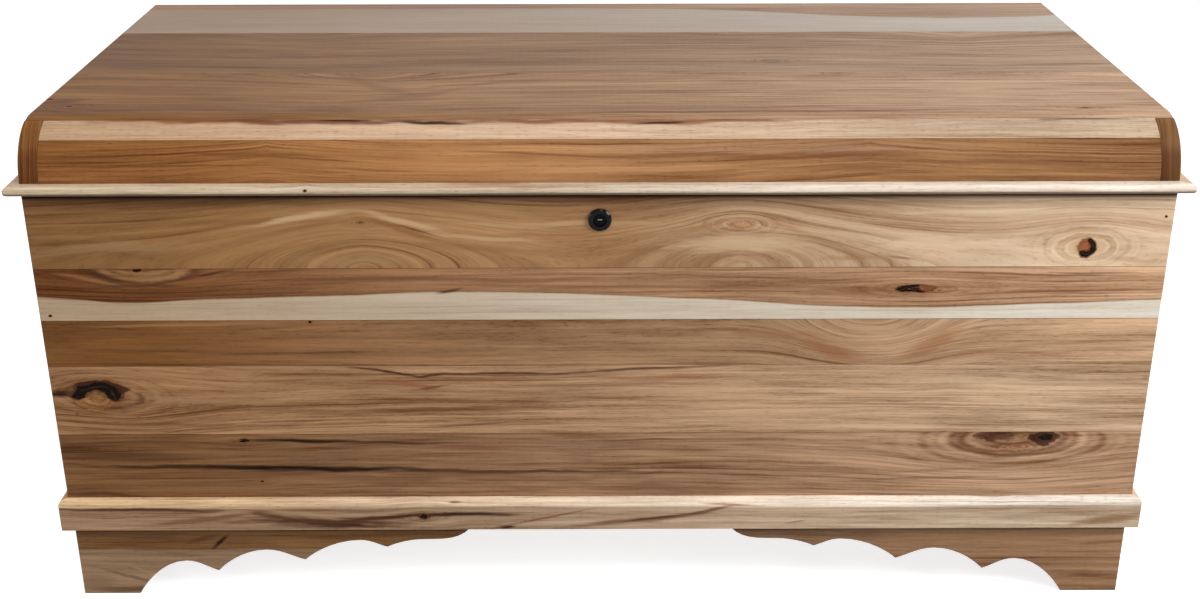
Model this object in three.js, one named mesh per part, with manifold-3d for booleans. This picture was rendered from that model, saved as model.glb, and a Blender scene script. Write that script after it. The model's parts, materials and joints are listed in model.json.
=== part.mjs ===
import * as THREE from "three";
import { mergeVertices } from "three/addons/utils/BufferGeometryUtils.js";
import Module from "manifold-3d";

// Rustic hickory blanket chest with a round-fronted lid, scalloped bracket feet,
// two butt hinges, two folding lid stays and a round barrel lock.
// Millimetres, +X right, +Y back, +Z up, floor at Z = 0.

const wasm = await Module();
wasm.setup();

// Driving sizes of the chest
const caseWidth = 1118;
const caseDepth = 533;
const chestHeight = 522;
const boardThick = 19;
const jointGap = 0.3;
const partingGap = 0.8;
const openAngleDeg = 95;

// Base: scalloped brackets and skirts under the case, with a moulding round the joint
const skirtHeight = 100;
const skirtInset = 1.8;
const bracketLength = 425;
const baseMould = { reach: 8.5, height: 35.4, drop: 15, edgeRadius: 7 };
const cornerBlock = { width: 40, footGap: 4 };

// Floor panel, held in grooves along the lowest boards
const floorPanel = { thick: 12, rise: 10, grooveDepth: 8 };

// Lid: a quarter round along the front edge, above a straight lip and a bullnose moulding
const lidRadius = 55;
const lidStraight = 9.2;
const lidMould = { reach: 13, height: 9.7 };
const staveSeamDeg = { front: 45, top: 72 };

// Where glued boards meet, as shares of the panel height or of the lid depth
const frontSeamShares = [0, 0.266, 0.483, 0.625, 0.7815, 1];
const backSeamShares = [0, 0.31, 0.66, 1];
const endSeamShares = [0, 0.27, 0.49, 0.76, 1];
const lidSeamShares = [0, 0.375, 0.713, 1];

// Scallops from the outer corner inwards, crest and cusp in turn:
// [share of the length, share of the skirt height]
const frontScallopShares = [
  [0.1416, 0], [0.2687, 0.41], [0.3478, 0.287], [0.4734, 0.544], [0.5682, 0.419],
  [0.7099, 0.66], [0.7769, 0.575], [0.8711, 0.668],
];
const sideScallopShares = [
  [0.2274, 0], [0.431, 0.41], [0.558, 0.287], [0.76, 0.544], [0.912, 0.419], [1, 0.47],
];
const backScallopShares = [[0.108, 0], [0.27, 0.62], [1, 0.62]];
const ogeeTopShare = 0.88;

// How a curve leaves a cusp and arrives level at a crest, as shares of its run and rise
const climbShares = { leave: [0.167, 0.39], arrive: [0.556, 1] };
const fallShares = { leave: [0.33, 0.3], arrive: [0.6, 1] };
const ogeeShares = { leave: [0.49, 0], arrive: [0.745, 0] };

// Butt hinges
const hinge = {
  width: 76,
  leafThick: 2,
  knuckleRadius: 3.2,
  knuckleCount: 5,
  pinRadius: 1.6,
  pinClear: 0.2,
  tipRadius: 2.6,
  tipLong: 1.6,
  placeShare: 0.62,
};

// Barrel lock in the top front board, its hooked cam and the keeper in the lid
const lock = {
  drop: 27.6,
  rimRadius: 11.5,
  rimThick: 2.6,
  rimEdge: 1.1,
  rimBevel: 1.6,
  lipBevel: 0.9,
  barrelRadius: 9,
  barrelTail: 8,
  plugRadius: 6,
  plugRecess: 1.4,
  keyLong: 6.4,
  keyWide: 1.3,
  keyDeep: 9,
  nutRadius: 14,
  nutThick: 4,
  tenonWide: 6.4,
  screwRadius: 5.4,
  screwThick: 2,
};
const cam = {
  thick: 2.4,
  hubRadius: 9,
  shankWide: 8,
  hookInner: 35,
  hookOuter: 41,
  hookAngleDeg: 24,
};
const keeper = {
  halfWidth: 20,
  thick: 2,
  seatShare: 0.7,
  tongueStart: 5.5,
  tongueEnd: 14,
  tongueReach: 14,
};

// Folding lid stays: four equal links between the hinge axis and the three pivots
const stay = {
  link: 150,
  casePivotDeg: -25,
  lidPivotDeg: 8,
  armWide: 14,
  armThick: 2,
  studRadius: 3,
  studClear: 0.3,
  headRadius: 5.5,
  headThick: 1.6,
  plateLong: 60,
  plateWide: 22,
  plateThick: 2,
  plateCorner: 5,
  stopReach: 12,
  stopRadius: 2,
};

// Fineness of curves, and how far a cutting tool runs past what it cuts
const arcStepDeg = 4;
const rightAngleDeg = 90;
const roundSides = 28;
const curveSteps = 7;
const overrun = 3;

// Heights and places worked out from the sizes above
const lidRoundZ = chestHeight - lidRadius;
const lidBottom = lidRoundZ - lidStraight;
const caseTop = lidBottom - partingGap;
const caseBottom = skirtHeight;
const panelHeight = caseTop - caseBottom;
const lidUnderside = chestHeight - boardThick;
const mitreGap = jointGap * Math.SQRT2;
const hingeAxis = { v: -(hinge.knuckleRadius + jointGap), z: caseTop + partingGap / 2 };
const lockZ = caseTop - lock.drop;
const frontMost = -lidMould.reach;
const backMost = caseDepth - hingeAxis.v + hinge.knuckleRadius;

// Colours, as seen on each board
function finish(color, roughness, metalness = 0) {
  return new THREE.MeshStandardMaterial({ color, roughness, metalness });
}

const frontFinishes = [0x9a7450, 0xa98562, 0x9f7549, 0xa5835f, 0xae8a63].map((c) => finish(c, 0.45));
const endFinishes = [0x9c7753, 0xa88460, 0x9d7550, 0xad8862].map((c) => finish(c, 0.45));
const lidTopFinish = finish(0xa3846b, 0.35);
const lidFrontFinish = finish(0xa5764c, 0.4);
const creamFinish = finish(0xd3b79b, 0.4);
const darkEndFinish = finish(0x7a5030, 0.45);
const mouldFinish = finish(0xb39a80, 0.45);
const bracketFinish = finish(0x967355, 0.5);
const insideFinish = finish(0xb08a66, 0.6);
const brassFinish = finish(0x9c8350, 0.4, 1);
const steelFinish = finish(0x8f8a80, 0.4, 1);
const blackFinish = finish(0x0e0e0e, 0.15, 0.2);
const plugFinish = finish(0x1a1a1a, 0.3, 0.5);

// Each wall is a group seen from outside: u runs from left to right, v goes inwards from the
// outer face, z up. Its u, v, z are the x, y, z of what is put in the group.
const chest = new THREE.Group();
chest.position.y = (caseDepth - frontMost - backMost) / 2;

function makeWall(turn, reach, half) {
  const group = new THREE.Group();
  group.rotation.z = turn;
  group.position.set(reach * Math.sin(turn), -reach * Math.cos(turn), 0);
  group.userData.half = half;
  chest.add(group);
  return group;
}

const frontWall = makeWall(0, caseDepth / 2, caseWidth / 2);
const rightWall = makeWall(Math.PI / 2, caseWidth / 2, caseDepth / 2);
const backWall = makeWall(Math.PI, caseDepth / 2, caseWidth / 2);
const leftWall = makeWall(-Math.PI / 2, caseWidth / 2, caseDepth / 2);

function add(wall, name, geometry, material) {
  const mesh = new THREE.Mesh(geometry, material);
  mesh.name = name;
  wall.add(mesh);
}

// Geometry helpers
function point(x, y) {
  return new THREE.Vector2(x, y);
}

function block(u0, u1, v0, v1, z0, z1) {
  const geometry = new THREE.BoxGeometry(u1 - u0, v1 - v0, z1 - z0);
  return geometry.translate((u0 + u1) / 2, (v0 + v1) / 2, (z0 + z1) / 2);
}

// A bar along u with the same cross-section, given as v, z points, all the way
function bar(section, u0, u1) {
  const geometry = new THREE.ExtrudeGeometry(new THREE.Shape(section), {
    depth: u1 - u0,
    bevelEnabled: false,
  });
  const alongU = new THREE.Matrix4().makeBasis(
    new THREE.Vector3(0, 1, 0),
    new THREE.Vector3(0, 0, 1),
    new THREE.Vector3(1, 0, 0),
  );
  return geometry.applyMatrix4(alongU).translate(u0, 0, 0);
}

// A sheet with an outline, given as u, z points, through the depth from v0 to v1
function sheet(outline, v0, v1, holes = []) {
  const shape = new THREE.Shape(outline);
  shape.holes = holes.map((hole) => new THREE.Path(hole));
  const geometry = new THREE.ExtrudeGeometry(shape, { depth: v1 - v0, bevelEnabled: false });
  const throughV = new THREE.Matrix4().makeBasis(
    new THREE.Vector3(1, 0, 0),
    new THREE.Vector3(0, 0, 1),
    new THREE.Vector3(0, -1, 0),
  );
  return geometry.applyMatrix4(throughV).translate(0, v1, 0);
}

// A round rod through the depth, or along u
function rod(radius, u, z, v0, v1) {
  const geometry = new THREE.CylinderGeometry(radius, radius, v1 - v0, roundSides);
  return geometry.translate(u, (v0 + v1) / 2, z);
}

function rodAlongU(radius, v, z, u0, u1) {
  const geometry = new THREE.CylinderGeometry(radius, radius, u1 - u0, roundSides);
  return geometry.rotateZ(Math.PI / 2).translate((u0 + u1) / 2, v, z);
}

// Points of an arc; 0 degrees points towards -x, 90 degrees up
function arcPoints(x, y, radius, fromDeg, toDeg) {
  const steps = Math.max(1, Math.ceil(Math.abs(toDeg - fromDeg) / arcStepDeg));
  return Array.from({ length: steps + 1 }, (unused, i) => {
    const angle = THREE.MathUtils.degToRad(fromDeg + ((toDeg - fromDeg) * i) / steps);
    return point(x - radius * Math.cos(angle), y + radius * Math.sin(angle));
  });
}

function circlePoints(x, y, radius, sides = roundSides) {
  return Array.from({ length: sides }, (unused, i) => {
    const angle = (2 * Math.PI * i) / sides;
    return point(x + radius * Math.cos(angle), y + radius * Math.sin(angle));
  });
}

function roundedBox(x, y, halfX, halfY, corner) {
  const corners = [[-1, 1], [1, 1], [1, -1], [-1, -1]];
  return corners.flatMap(([sideX, sideY], i) => arcPoints(
    x + sideX * (halfX - corner), y + sideY * (halfY - corner), corner,
    i * rightAngleDeg, (i + 1) * rightAngleDeg,
  ));
}

// Cuts the end face at u = end to 45 degrees, so that it meets the next wall's end
function mitre(geometry, end) {
  const place = geometry.attributes.position;
  for (let i = 0; i < place.count; i += 1) {
    if (Math.abs(place.getX(i) - end) < jointGap) {
      place.setX(i, end - Math.sign(end) * place.getY(i));
    }
  }
  return geometry;
}

function mitreBoth(geometry, half) {
  return mitre(mitre(geometry, half), -half);
}

// Solids for joining and cutting: shared corners merged, empty triangles dropped
function toSolid(geometry) {
  const bare = geometry.clone();
  bare.deleteAttribute("normal");
  bare.deleteAttribute("uv");
  const merged = mergeVertices(bare);
  const corners = merged.index.array;
  const kept = [];
  for (let i = 0; i < corners.length; i += 3) {
    const [a, b, c] = [corners[i], corners[i + 1], corners[i + 2]];
    if (a !== b && b !== c && c !== a) kept.push(a, b, c);
  }
  return new wasm.Manifold(new wasm.Mesh({
    numProp: 3,
    vertProperties: merged.attributes.position.array,
    triVerts: new Uint32Array(kept),
  }));
}

function toGeometry(solid) {
  const mesh = solid.getMesh();
  const geometry = new THREE.BufferGeometry();
  geometry.setAttribute("position", new THREE.BufferAttribute(mesh.vertProperties, 3));
  geometry.setIndex(new THREE.BufferAttribute(mesh.triVerts, 1));
  geometry.computeVertexNormals();
  return geometry;
}

function joined(...geometries) {
  return toGeometry(geometries.map(toSolid).reduce((whole, next) => whole.add(next)));
}

function cutFrom(geometry, ...tools) {
  return toGeometry(tools.map(toSolid).reduce((rest, tool) => rest.subtract(tool), toSolid(geometry)));
}

// Case: four walls of glued boards, mitred at the corners
function boardLevels(shares, index) {
  const low = caseBottom + shares[index] * panelHeight;
  const high = caseBottom + shares[index + 1] * panelHeight;
  const isTop = index === shares.length - 2;
  return [low, isTop ? high : high - jointGap];
}

function plainOutline(half, low, high) {
  return [point(-half, low), point(half, low), point(half, high), point(-half, high)];
}

// The lowest board has the groove for the floor panel along its inner face
function groovedSection(low, high) {
  const grooveLow = low + floorPanel.rise - jointGap;
  const grooveHigh = low + floorPanel.rise + floorPanel.thick + jointGap;
  const grooveFloor = boardThick - floorPanel.grooveDepth;
  return [
    point(0, low), point(boardThick, low), point(boardThick, grooveLow), point(grooveFloor, grooveLow),
    point(grooveFloor, grooveHigh), point(boardThick, grooveHigh), point(boardThick, high), point(0, high),
  ];
}

// Notches for hinge leaves along one edge of an outline; cut is +1 on a lower edge, -1 on an upper
function hingeNotches(edge, cut) {
  const centre = hinge.placeShare * caseWidth / 2;
  const half = hinge.width / 2 + jointGap;
  const depth = hinge.leafThick + jointGap;
  return [-centre, centre].flatMap((middle) => [
    point(middle - half, edge), point(middle - half, edge + cut * depth),
    point(middle + half, edge + cut * depth), point(middle + half, edge),
  ]);
}

function addCaseWall(wall, name, shares, finishes, clearance) {
  const half = wall.userData.half - clearance;
  for (let i = 0; i < shares.length - 1; i += 1) {
    const [low, high] = boardLevels(shares, i);
    const isTop = i === shares.length - 2;
    let outline = plainOutline(half, low, high);
    let holes = [];
    if (isTop && wall === backWall) {
      outline = [point(-half, low), point(half, low), point(half, high),
        ...hingeNotches(high, -1).reverse(), point(-half, high)];
    }
    if (isTop && wall === frontWall) {
      holes = [circlePoints(0, lockZ, lock.barrelRadius + jointGap)];
    }
    const board = i === 0
      ? bar(groovedSection(low, high), -half, half)
      : sheet(outline, 0, boardThick, holes);
    add(wall, `${name}_board_${i + 1}`, mitreBoth(board, half), finishes[i]);
  }
}

addCaseWall(frontWall, "front", frontSeamShares, frontFinishes, 0);
addCaseWall(backWall, "back", backSeamShares, endFinishes, 0);
addCaseWall(rightWall, "right", endSeamShares, endFinishes, mitreGap);
addCaseWall(leftWall, "left", endSeamShares, endFinishes, mitreGap);

// Floor panel in its grooves
const floorEdge = boardThick - floorPanel.grooveDepth + jointGap;
const floorLow = caseBottom + floorPanel.rise;
add(chest, "floor_panel", block(
  floorEdge - caseWidth / 2, caseWidth / 2 - floorEdge,
  floorEdge - caseDepth / 2, caseDepth / 2 - floorEdge,
  floorLow, floorLow + floorPanel.thick,
), insideFinish);

// Base moulding over the joint of case and skirt, on the front and both ends
const baseMouldLow = caseBottom - baseMould.drop;
const baseMouldTop = baseMouldLow + baseMould.height;
const baseMouldSection = [
  point(-jointGap, baseMouldLow), point(-baseMould.reach, baseMouldLow),
  ...arcPoints(
    baseMould.edgeRadius - baseMould.reach, baseMouldTop - baseMould.edgeRadius, baseMould.edgeRadius,
    0, rightAngleDeg,
  ),
  point(-jointGap, baseMouldTop),
];

// Lid moulding: a bullnose along the lid's lower edge, on the front and both ends
const noseRadius = lidMould.height / 2;
const lidMouldSection = [
  point(-jointGap, lidBottom),
  ...arcPoints(
    noseRadius - lidMould.reach, lidBottom + noseRadius, noseRadius, -rightAngleDeg, rightAngleDeg,
  ),
  point(-jointGap, lidBottom + lidMould.height),
];

function addMoulding(name, section) {
  const side = caseDepth / 2;
  const corner = side - mitreGap;
  add(frontWall, `${name}_front`, mitreBoth(bar(section, -caseWidth / 2, caseWidth / 2), caseWidth / 2),
    mouldFinish);
  add(rightWall, `${name}_right`, mitre(bar(section, -corner, side), -corner), mouldFinish);
  add(leftWall, `${name}_left`, mitre(bar(section, -side, corner), corner), mouldFinish);
}

addMoulding("base_moulding", baseMouldSection);

// Scalloped lower edge: from the foot's inner corner inwards, climbing to each crest
function sideways([u, z], [nextU, nextZ], shares, reversed) {
  const [startU, startZ, endU, endZ] = reversed ? [nextU, nextZ, u, z] : [u, z, nextU, nextZ];
  const at = ([shareU, shareZ]) => point(
    startU + shareU * (endU - startU), startZ + shareZ * (endZ - startZ),
  );
  const curve = new THREE.CubicBezierCurve(
    point(startU, startZ), at(shares.leave), at(shares.arrive), point(endU, endZ),
  );
  const points = curve.getPoints(curveSteps);
  return reversed ? points.reverse() : points;
}

function scallopPoints(corner, direction, length, shares) {
  const places = shares.map(([along, high]) => [corner + direction * along * length, high * skirtHeight]);
  const points = [];
  for (let i = 0; i + 1 < places.length; i += 1) {
    const climbs = i % 2 === 0;
    points.push(...sideways(places[i], places[i + 1], climbs ? climbShares : fallShares, !climbs));
  }
  return points.filter((p, i) => i === 0 || p.distanceTo(points[i - 1]) > jointGap);
}

const skirtTop = caseBottom - jointGap;
const skirtBack = skirtInset + boardThick;

// A front bracket: foot, three scallops and an ogee that rises behind the moulding
function addBracket(name, direction) {
  const corner = -direction * caseWidth / 2;
  const start = corner + direction * skirtInset;
  const inner = start + direction * bracketLength;
  const scallops = scallopPoints(start, direction, bracketLength, frontScallopShares);
  const last = scallops[scallops.length - 1];
  const ogee = sideways([last.x, last.y], [inner, ogeeTopShare * skirtHeight], ogeeShares, false);
  const outline = [
    point(corner, skirtTop), point(corner, 0), ...scallops, ...ogee.slice(1), point(inner, skirtTop),
  ];
  add(frontWall, name, mitre(sheet(outline, skirtInset, skirtBack), corner), bracketFinish);
}

addBracket("front_left_bracket", 1);
addBracket("front_right_bracket", -1);

// A skirt the same on both halves, mitred at both ends
function addSkirt(wall, name, shares, clearance) {
  const half = wall.userData.half;
  const length = half - skirtInset;
  const leftHalf = scallopPoints(-length, 1, length, shares);
  const rightHalf = leftHalf.slice(0, -1).map((p) => point(-p.x, p.y)).reverse();
  const end = half - clearance;
  const outline = [
    point(-end, skirtTop), point(-end, 0), ...leftHalf, ...rightHalf, point(end, 0), point(end, skirtTop),
  ];
  add(wall, name, mitreBoth(sheet(outline, skirtInset, skirtBack), end), bracketFinish);
}

addSkirt(rightWall, "right_skirt", sideScallopShares, mitreGap);
addSkirt(leftWall, "left_skirt", sideScallopShares, mitreGap);
addSkirt(backWall, "back_skirt", backScallopShares, 0);

// Corner blocks glued inside the feet, up to the floor panel
const blockTop = floorLow - jointGap;
const blockInset = skirtBack + jointGap + cornerBlock.width / 2;
for (const [sideX, nameX] of [[-1, "left"], [1, "right"]]) {
  for (const [sideY, nameY] of [[-1, "front"], [1, "back"]]) {
    const corner = new THREE.BoxGeometry(
      cornerBlock.width, cornerBlock.width, blockTop - cornerBlock.footGap,
    );
    corner.translate(
      sideX * (caseWidth / 2 - blockInset), sideY * (caseDepth / 2 - blockInset),
      (blockTop + cornerBlock.footGap) / 2,
    );
    add(chest, `corner_block_${nameY}_${nameX}`, corner, insideFinish);
  }
}

// Lid, in front-wall sections of v and z: staves round the front edge, then three top boards
const lidInner = lidRadius - boardThick;
const seamClearDeg = THREE.MathUtils.radToDeg(jointGap / lidRadius);
const lidSpan = caseWidth / 2 - boardThick - jointGap;

function roundPart(radius, fromDeg, toDeg) {
  return arcPoints(lidRadius, lidRoundZ, radius, fromDeg, toDeg);
}

const frontBoardEndDeg = staveSeamDeg.front - seamClearDeg;
const lidFrontBoard = bar([
  point(boardThick, lidBottom), point(0, lidBottom),
  ...roundPart(lidRadius, 0, frontBoardEndDeg), ...roundPart(lidInner, frontBoardEndDeg, 0),
], -lidSpan, lidSpan);
const keeperSeat = block(
  -keeper.halfWidth - jointGap, keeper.halfWidth + jointGap,
  boardThick * (1 - keeper.seatShare) - jointGap, boardThick + overrun,
  lidBottom - overrun, lidBottom + keeper.thick + jointGap,
);
add(frontWall, "lid_front_board", cutFrom(lidFrontBoard, keeperSeat), lidFrontFinish);

const stripEndDeg = staveSeamDeg.top - seamClearDeg;
add(frontWall, "lid_corner_strip", bar([
  ...roundPart(lidRadius, staveSeamDeg.front, stripEndDeg),
  ...roundPart(lidInner, stripEndDeg, staveSeamDeg.front),
], -lidSpan, lidSpan), creamFinish);

const topSeams = lidSeamShares.map((share) => share * caseDepth);
add(frontWall, "lid_top_board_front", bar([
  ...roundPart(lidRadius, staveSeamDeg.top, rightAngleDeg),
  point(topSeams[1] - jointGap, chestHeight), point(topSeams[1] - jointGap, lidUnderside),
  ...roundPart(lidInner, rightAngleDeg, staveSeamDeg.top),
], -caseWidth / 2, caseWidth / 2), lidTopFinish);
add(frontWall, "lid_top_board_middle", block(
  -caseWidth / 2, caseWidth / 2, topSeams[1], topSeams[2] - jointGap, lidUnderside, chestHeight,
), lidTopFinish);
add(frontWall, "lid_top_board_back", block(
  -caseWidth / 2, caseWidth / 2, topSeams[2], caseDepth, lidUnderside, chestHeight,
), lidTopFinish);

// End boards of the lid follow the round in front and carry the top boards
function addLidEnd(wall, name, side) {
  const outline = [
    point(0, lidBottom),
    ...roundPart(lidRadius, 0, stripEndDeg),
    ...roundPart(lidInner - jointGap, stripEndDeg, rightAngleDeg),
    point(caseDepth, lidUnderside - jointGap), point(caseDepth, lidBottom),
  ].map((p) => point(side * (p.x - caseDepth / 2), p.y));
  add(wall, name, sheet(outline, 0, boardThick), darkEndFinish);
}

addLidEnd(rightWall, "lid_end_right", 1);
addLidEnd(leftWall, "lid_end_left", -1);

const backRailTop = lidUnderside - jointGap;
add(backWall, "lid_back_rail", sheet([
  point(-lidSpan, lidBottom), ...hingeNotches(lidBottom, 1), point(lidSpan, lidBottom),
  point(lidSpan, backRailTop), point(-lidSpan, backRailTop),
], 0, boardThick), lidFrontFinish);

addMoulding("lid_moulding", lidMouldSection);

// Hinges: each leaf is let in flush; its knuckles share one pin with the other leaf's
const knuckleWide = hinge.width / hinge.knuckleCount;
const boreRadius = hinge.pinRadius + hinge.pinClear;

function hingeLeaf(middle, low, firstKnuckle) {
  const left = middle - hinge.width / 2;
  const parts = [block(left, left + hinge.width, 0, boardThick, low, low + hinge.leafThick)];
  for (let i = firstKnuckle; i < hinge.knuckleCount; i += 2) {
    const u0 = left + i * knuckleWide + jointGap / 2;
    const u1 = left + (i + 1) * knuckleWide - jointGap / 2;
    parts.push(block(u0, u1, hingeAxis.v, overrun, low, low + hinge.leafThick));
    parts.push(rodAlongU(hinge.knuckleRadius, hingeAxis.v, hingeAxis.z, u0, u1));
  }
  const bore = rodAlongU(
    boreRadius, hingeAxis.v, hingeAxis.z, left - overrun, left + hinge.width + overrun,
  );
  return cutFrom(joined(...parts), bore);
}

function hingePin(middle) {
  const half = hinge.width / 2;
  const tip = half + jointGap;
  return joined(
    rodAlongU(hinge.pinRadius, hingeAxis.v, hingeAxis.z, middle - tip, middle + tip),
    rodAlongU(hinge.tipRadius, hingeAxis.v, hingeAxis.z, middle - tip - hinge.tipLong, middle - tip),
    rodAlongU(hinge.tipRadius, hingeAxis.v, hingeAxis.z, middle + tip, middle + tip + hinge.tipLong),
  );
}

for (const [side, name] of [[1, "left"], [-1, "right"]]) {
  const middle = side * hinge.placeShare * caseWidth / 2;
  add(backWall, `hinge_${name}_case_leaf`, hingeLeaf(middle, caseTop - hinge.leafThick, 0), brassFinish);
  add(backWall, `hinge_${name}_lid_leaf`, hingeLeaf(middle, lidBottom, 1), brassFinish);
  add(backWall, `hinge_${name}_pin`, hingePin(middle), brassFinish);
}

// Lock barrel: a ring with a bevelled rim, turned about the v axis
const rimFront = -jointGap - lock.rimThick;
const barrelEnd = boardThick + lock.barrelTail;
const barrelBore = lock.plugRadius + jointGap;
const barrel = new THREE.LatheGeometry([
  point(barrelBore, rimFront + lock.lipBevel),
  point(barrelBore + lock.lipBevel, rimFront),
  point(lock.rimRadius - lock.rimBevel, rimFront),
  point(lock.rimRadius, rimFront + lock.rimEdge),
  point(lock.rimRadius, -jointGap),
  point(lock.barrelRadius, -jointGap),
  point(lock.barrelRadius, barrelEnd),
  point(barrelBore, barrelEnd),
  point(barrelBore, rimFront + lock.lipBevel),
], roundSides);
add(frontWall, "lock_barrel", barrel.translate(0, 0, lockZ), blackFinish);

// Hexagonal nut behind the board
const nutSides = 6;
add(frontWall, "lock_nut", sheet(
  circlePoints(0, lockZ, lock.nutRadius, nutSides),
  boardThick + jointGap, boardThick + jointGap + lock.nutThick,
  [circlePoints(0, lockZ, lock.barrelRadius + jointGap)],
), steelFinish);

// Plug with its keyhole and square tenon, the hooked cam on it and the screw that holds the cam
const plugFront = rimFront + lock.plugRecess;
const plugEnd = barrelEnd + jointGap;
const camFront = plugEnd + jointGap;
const camBack = camFront + cam.thick;
const halfTenon = lock.tenonWide / 2;
add(frontWall, "lock_plug", cutFrom(
  joined(
    rod(lock.plugRadius, 0, lockZ, plugFront, plugEnd),
    block(-halfTenon, halfTenon, plugEnd - overrun, camBack, lockZ - halfTenon, lockZ + halfTenon),
  ),
  block(
    -lock.keyLong / 2, lock.keyLong / 2, plugFront - overrun, plugFront + lock.keyDeep,
    lockZ - lock.keyWide / 2, lockZ + lock.keyWide / 2,
  ),
), plugFinish);

// The cam lies to the left when open; its hook leads as it turns up behind the lid's front
function camPoint(radius, angleDeg) {
  const angle = THREE.MathUtils.degToRad(angleDeg);
  return point(-radius * Math.cos(angle), lockZ + radius * Math.sin(angle));
}

const shankDeg = THREE.MathUtils.radToDeg(Math.asin(cam.shankWide / 2 / cam.hubRadius));
const shankTipDeg = THREE.MathUtils.radToDeg(Math.asin(cam.shankWide / 2 / cam.hookInner));
const hubArc = arcPoints(0, lockZ, cam.hubRadius, shankDeg, 360 - shankDeg);
const hookInner = arcPoints(0, lockZ, cam.hookInner, shankTipDeg, cam.hookAngleDeg).reverse();
const hookOuter = arcPoints(0, lockZ, cam.hookOuter, -shankTipDeg, cam.hookAngleDeg);
const tenonHole = halfTenon + jointGap;
add(frontWall, "lock_cam", sheet(
  [...hookOuter, ...hookInner, ...hubArc, camPoint(cam.hookInner, -shankTipDeg)],
  camFront, camBack,
  [[
    point(-tenonHole, lockZ - tenonHole), point(tenonHole, lockZ - tenonHole),
    point(tenonHole, lockZ + tenonHole), point(-tenonHole, lockZ + tenonHole),
  ]],
), steelFinish);
add(frontWall, "lock_cam_screw", rod(
  lock.screwRadius, 0, lockZ, camBack + jointGap, camBack + jointGap + lock.screwThick,
), steelFinish);

// Keeper: a plate let into the lid's front board, with a tongue for the cam to hook over
const keeperPlate = block(
  -keeper.halfWidth, keeper.halfWidth, boardThick * (1 - keeper.seatShare), boardThick,
  lidBottom, lidBottom + keeper.thick,
);
const keeperTongue = block(
  keeper.tongueStart, keeper.tongueEnd, boardThick - overrun, boardThick + keeper.tongueReach,
  lidBottom, lidBottom + keeper.thick,
);
add(frontWall, "lock_keeper", joined(keeperPlate, keeperTongue), steelFinish);

// Lid stays. In a side view the hinge axis and the pivots on case, lid and elbow are the corners
// of a rhombus, so both arms turn at the lid's own rate.
const plateFace = boardThick + jointGap;
const lowerArmFace = plateFace + stay.plateThick + jointGap;
const upperArmFace = lowerArmFace + stay.armThick + jointGap;
const headFace = upperArmFace + stay.armThick + jointGap;
const armHoleRadius = stay.studRadius + stay.studClear;

function along(from, angleDeg, reach, forward) {
  const angle = THREE.MathUtils.degToRad(angleDeg);
  return point(from.x + forward * reach * Math.cos(angle), from.y + reach * Math.sin(angle));
}

// A flat arm with round ends from one pivot to beyond the other
function armOutline(from, to) {
  const heading = THREE.MathUtils.radToDeg(Math.atan2(to.y - from.y, from.x - to.x));
  const half = stay.armWide / 2;
  return [
    ...arcPoints(to.x, to.y, half, heading - rightAngleDeg, heading + rightAngleDeg),
    ...arcPoints(from.x, from.y, half, heading + rightAngleDeg, heading + 3 * rightAngleDeg),
  ];
}

function plateOutline(centre, halfU, halfZ) {
  return roundedBox(centre.x, centre.y, halfU, halfZ, stay.plateCorner);
}

function addStay(wall, name, forward) {
  const axis = point(-forward * (caseDepth / 2 - hingeAxis.v), hingeAxis.z);
  const casePivot = along(axis, stay.casePivotDeg, stay.link, forward);
  const lidPivot = along(axis, stay.lidPivotDeg, stay.link, forward);
  const elbow = along(casePivot, stay.lidPivotDeg, stay.link, forward);
  const tail = along(elbow, stay.lidPivotDeg, stay.stopReach, forward);
  const halfLong = stay.plateLong / 2;
  const halfWide = stay.plateWide / 2;
  const hole = (pivot) => circlePoints(pivot.x, pivot.y, armHoleRadius);
  const stud = (pivot, v0, v1) => rod(stay.studRadius, pivot.x, pivot.y, v0, v1);
  const head = (pivot, v0) => rod(stay.headRadius, pivot.x, pivot.y, v0, v0 + stay.headThick);

  add(wall, `${name}_case_plate`, joined(
    sheet(plateOutline(casePivot, halfWide, halfLong), plateFace, plateFace + stay.plateThick),
    stud(casePivot, plateFace, upperArmFace + stay.headThick / 2),
    head(casePivot, upperArmFace),
  ), steelFinish);
  add(wall, `${name}_lid_plate`, joined(
    sheet(plateOutline(lidPivot, halfLong, halfWide), plateFace, plateFace + stay.plateThick),
    stud(lidPivot, plateFace, headFace + stay.headThick / 2),
    rod(stay.headRadius, lidPivot.x, lidPivot.y, plateFace, upperArmFace - jointGap),
    head(lidPivot, headFace),
  ), steelFinish);

  // The stop stud stands behind the elbow, where the upper arm meets it with the lid fully open
  const stopAngle = openAngleDeg + stay.lidPivotDeg - stay.casePivotDeg + THREE.MathUtils.radToDeg(
    Math.asin((stay.armWide / 2 + stay.stopRadius + jointGap) / stay.stopReach),
  );
  const stop = along(elbow, stay.lidPivotDeg + 180 - stopAngle, stay.stopReach, forward);
  add(wall, `${name}_lower_arm`, joined(
    sheet(armOutline(casePivot, tail), lowerArmFace, lowerArmFace + stay.armThick, [hole(casePivot)]),
    stud(elbow, lowerArmFace, headFace + stay.headThick / 2),
    head(elbow, headFace),
    rod(stay.stopRadius, stop.x, stop.y, lowerArmFace, upperArmFace + stay.armThick),
  ), steelFinish);
  add(wall, `${name}_upper_arm`, sheet(
    armOutline(lidPivot, elbow), upperArmFace, upperArmFace + stay.armThick,
    [hole(lidPivot), hole(elbow)],
  ), steelFinish);
}

addStay(rightWall, "right_stay", -1);
addStay(leftWall, "left_stay", 1);

export default chest;
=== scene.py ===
import json
import math

import bmesh
import bpy
from mathutils import Matrix, Vector

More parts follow.
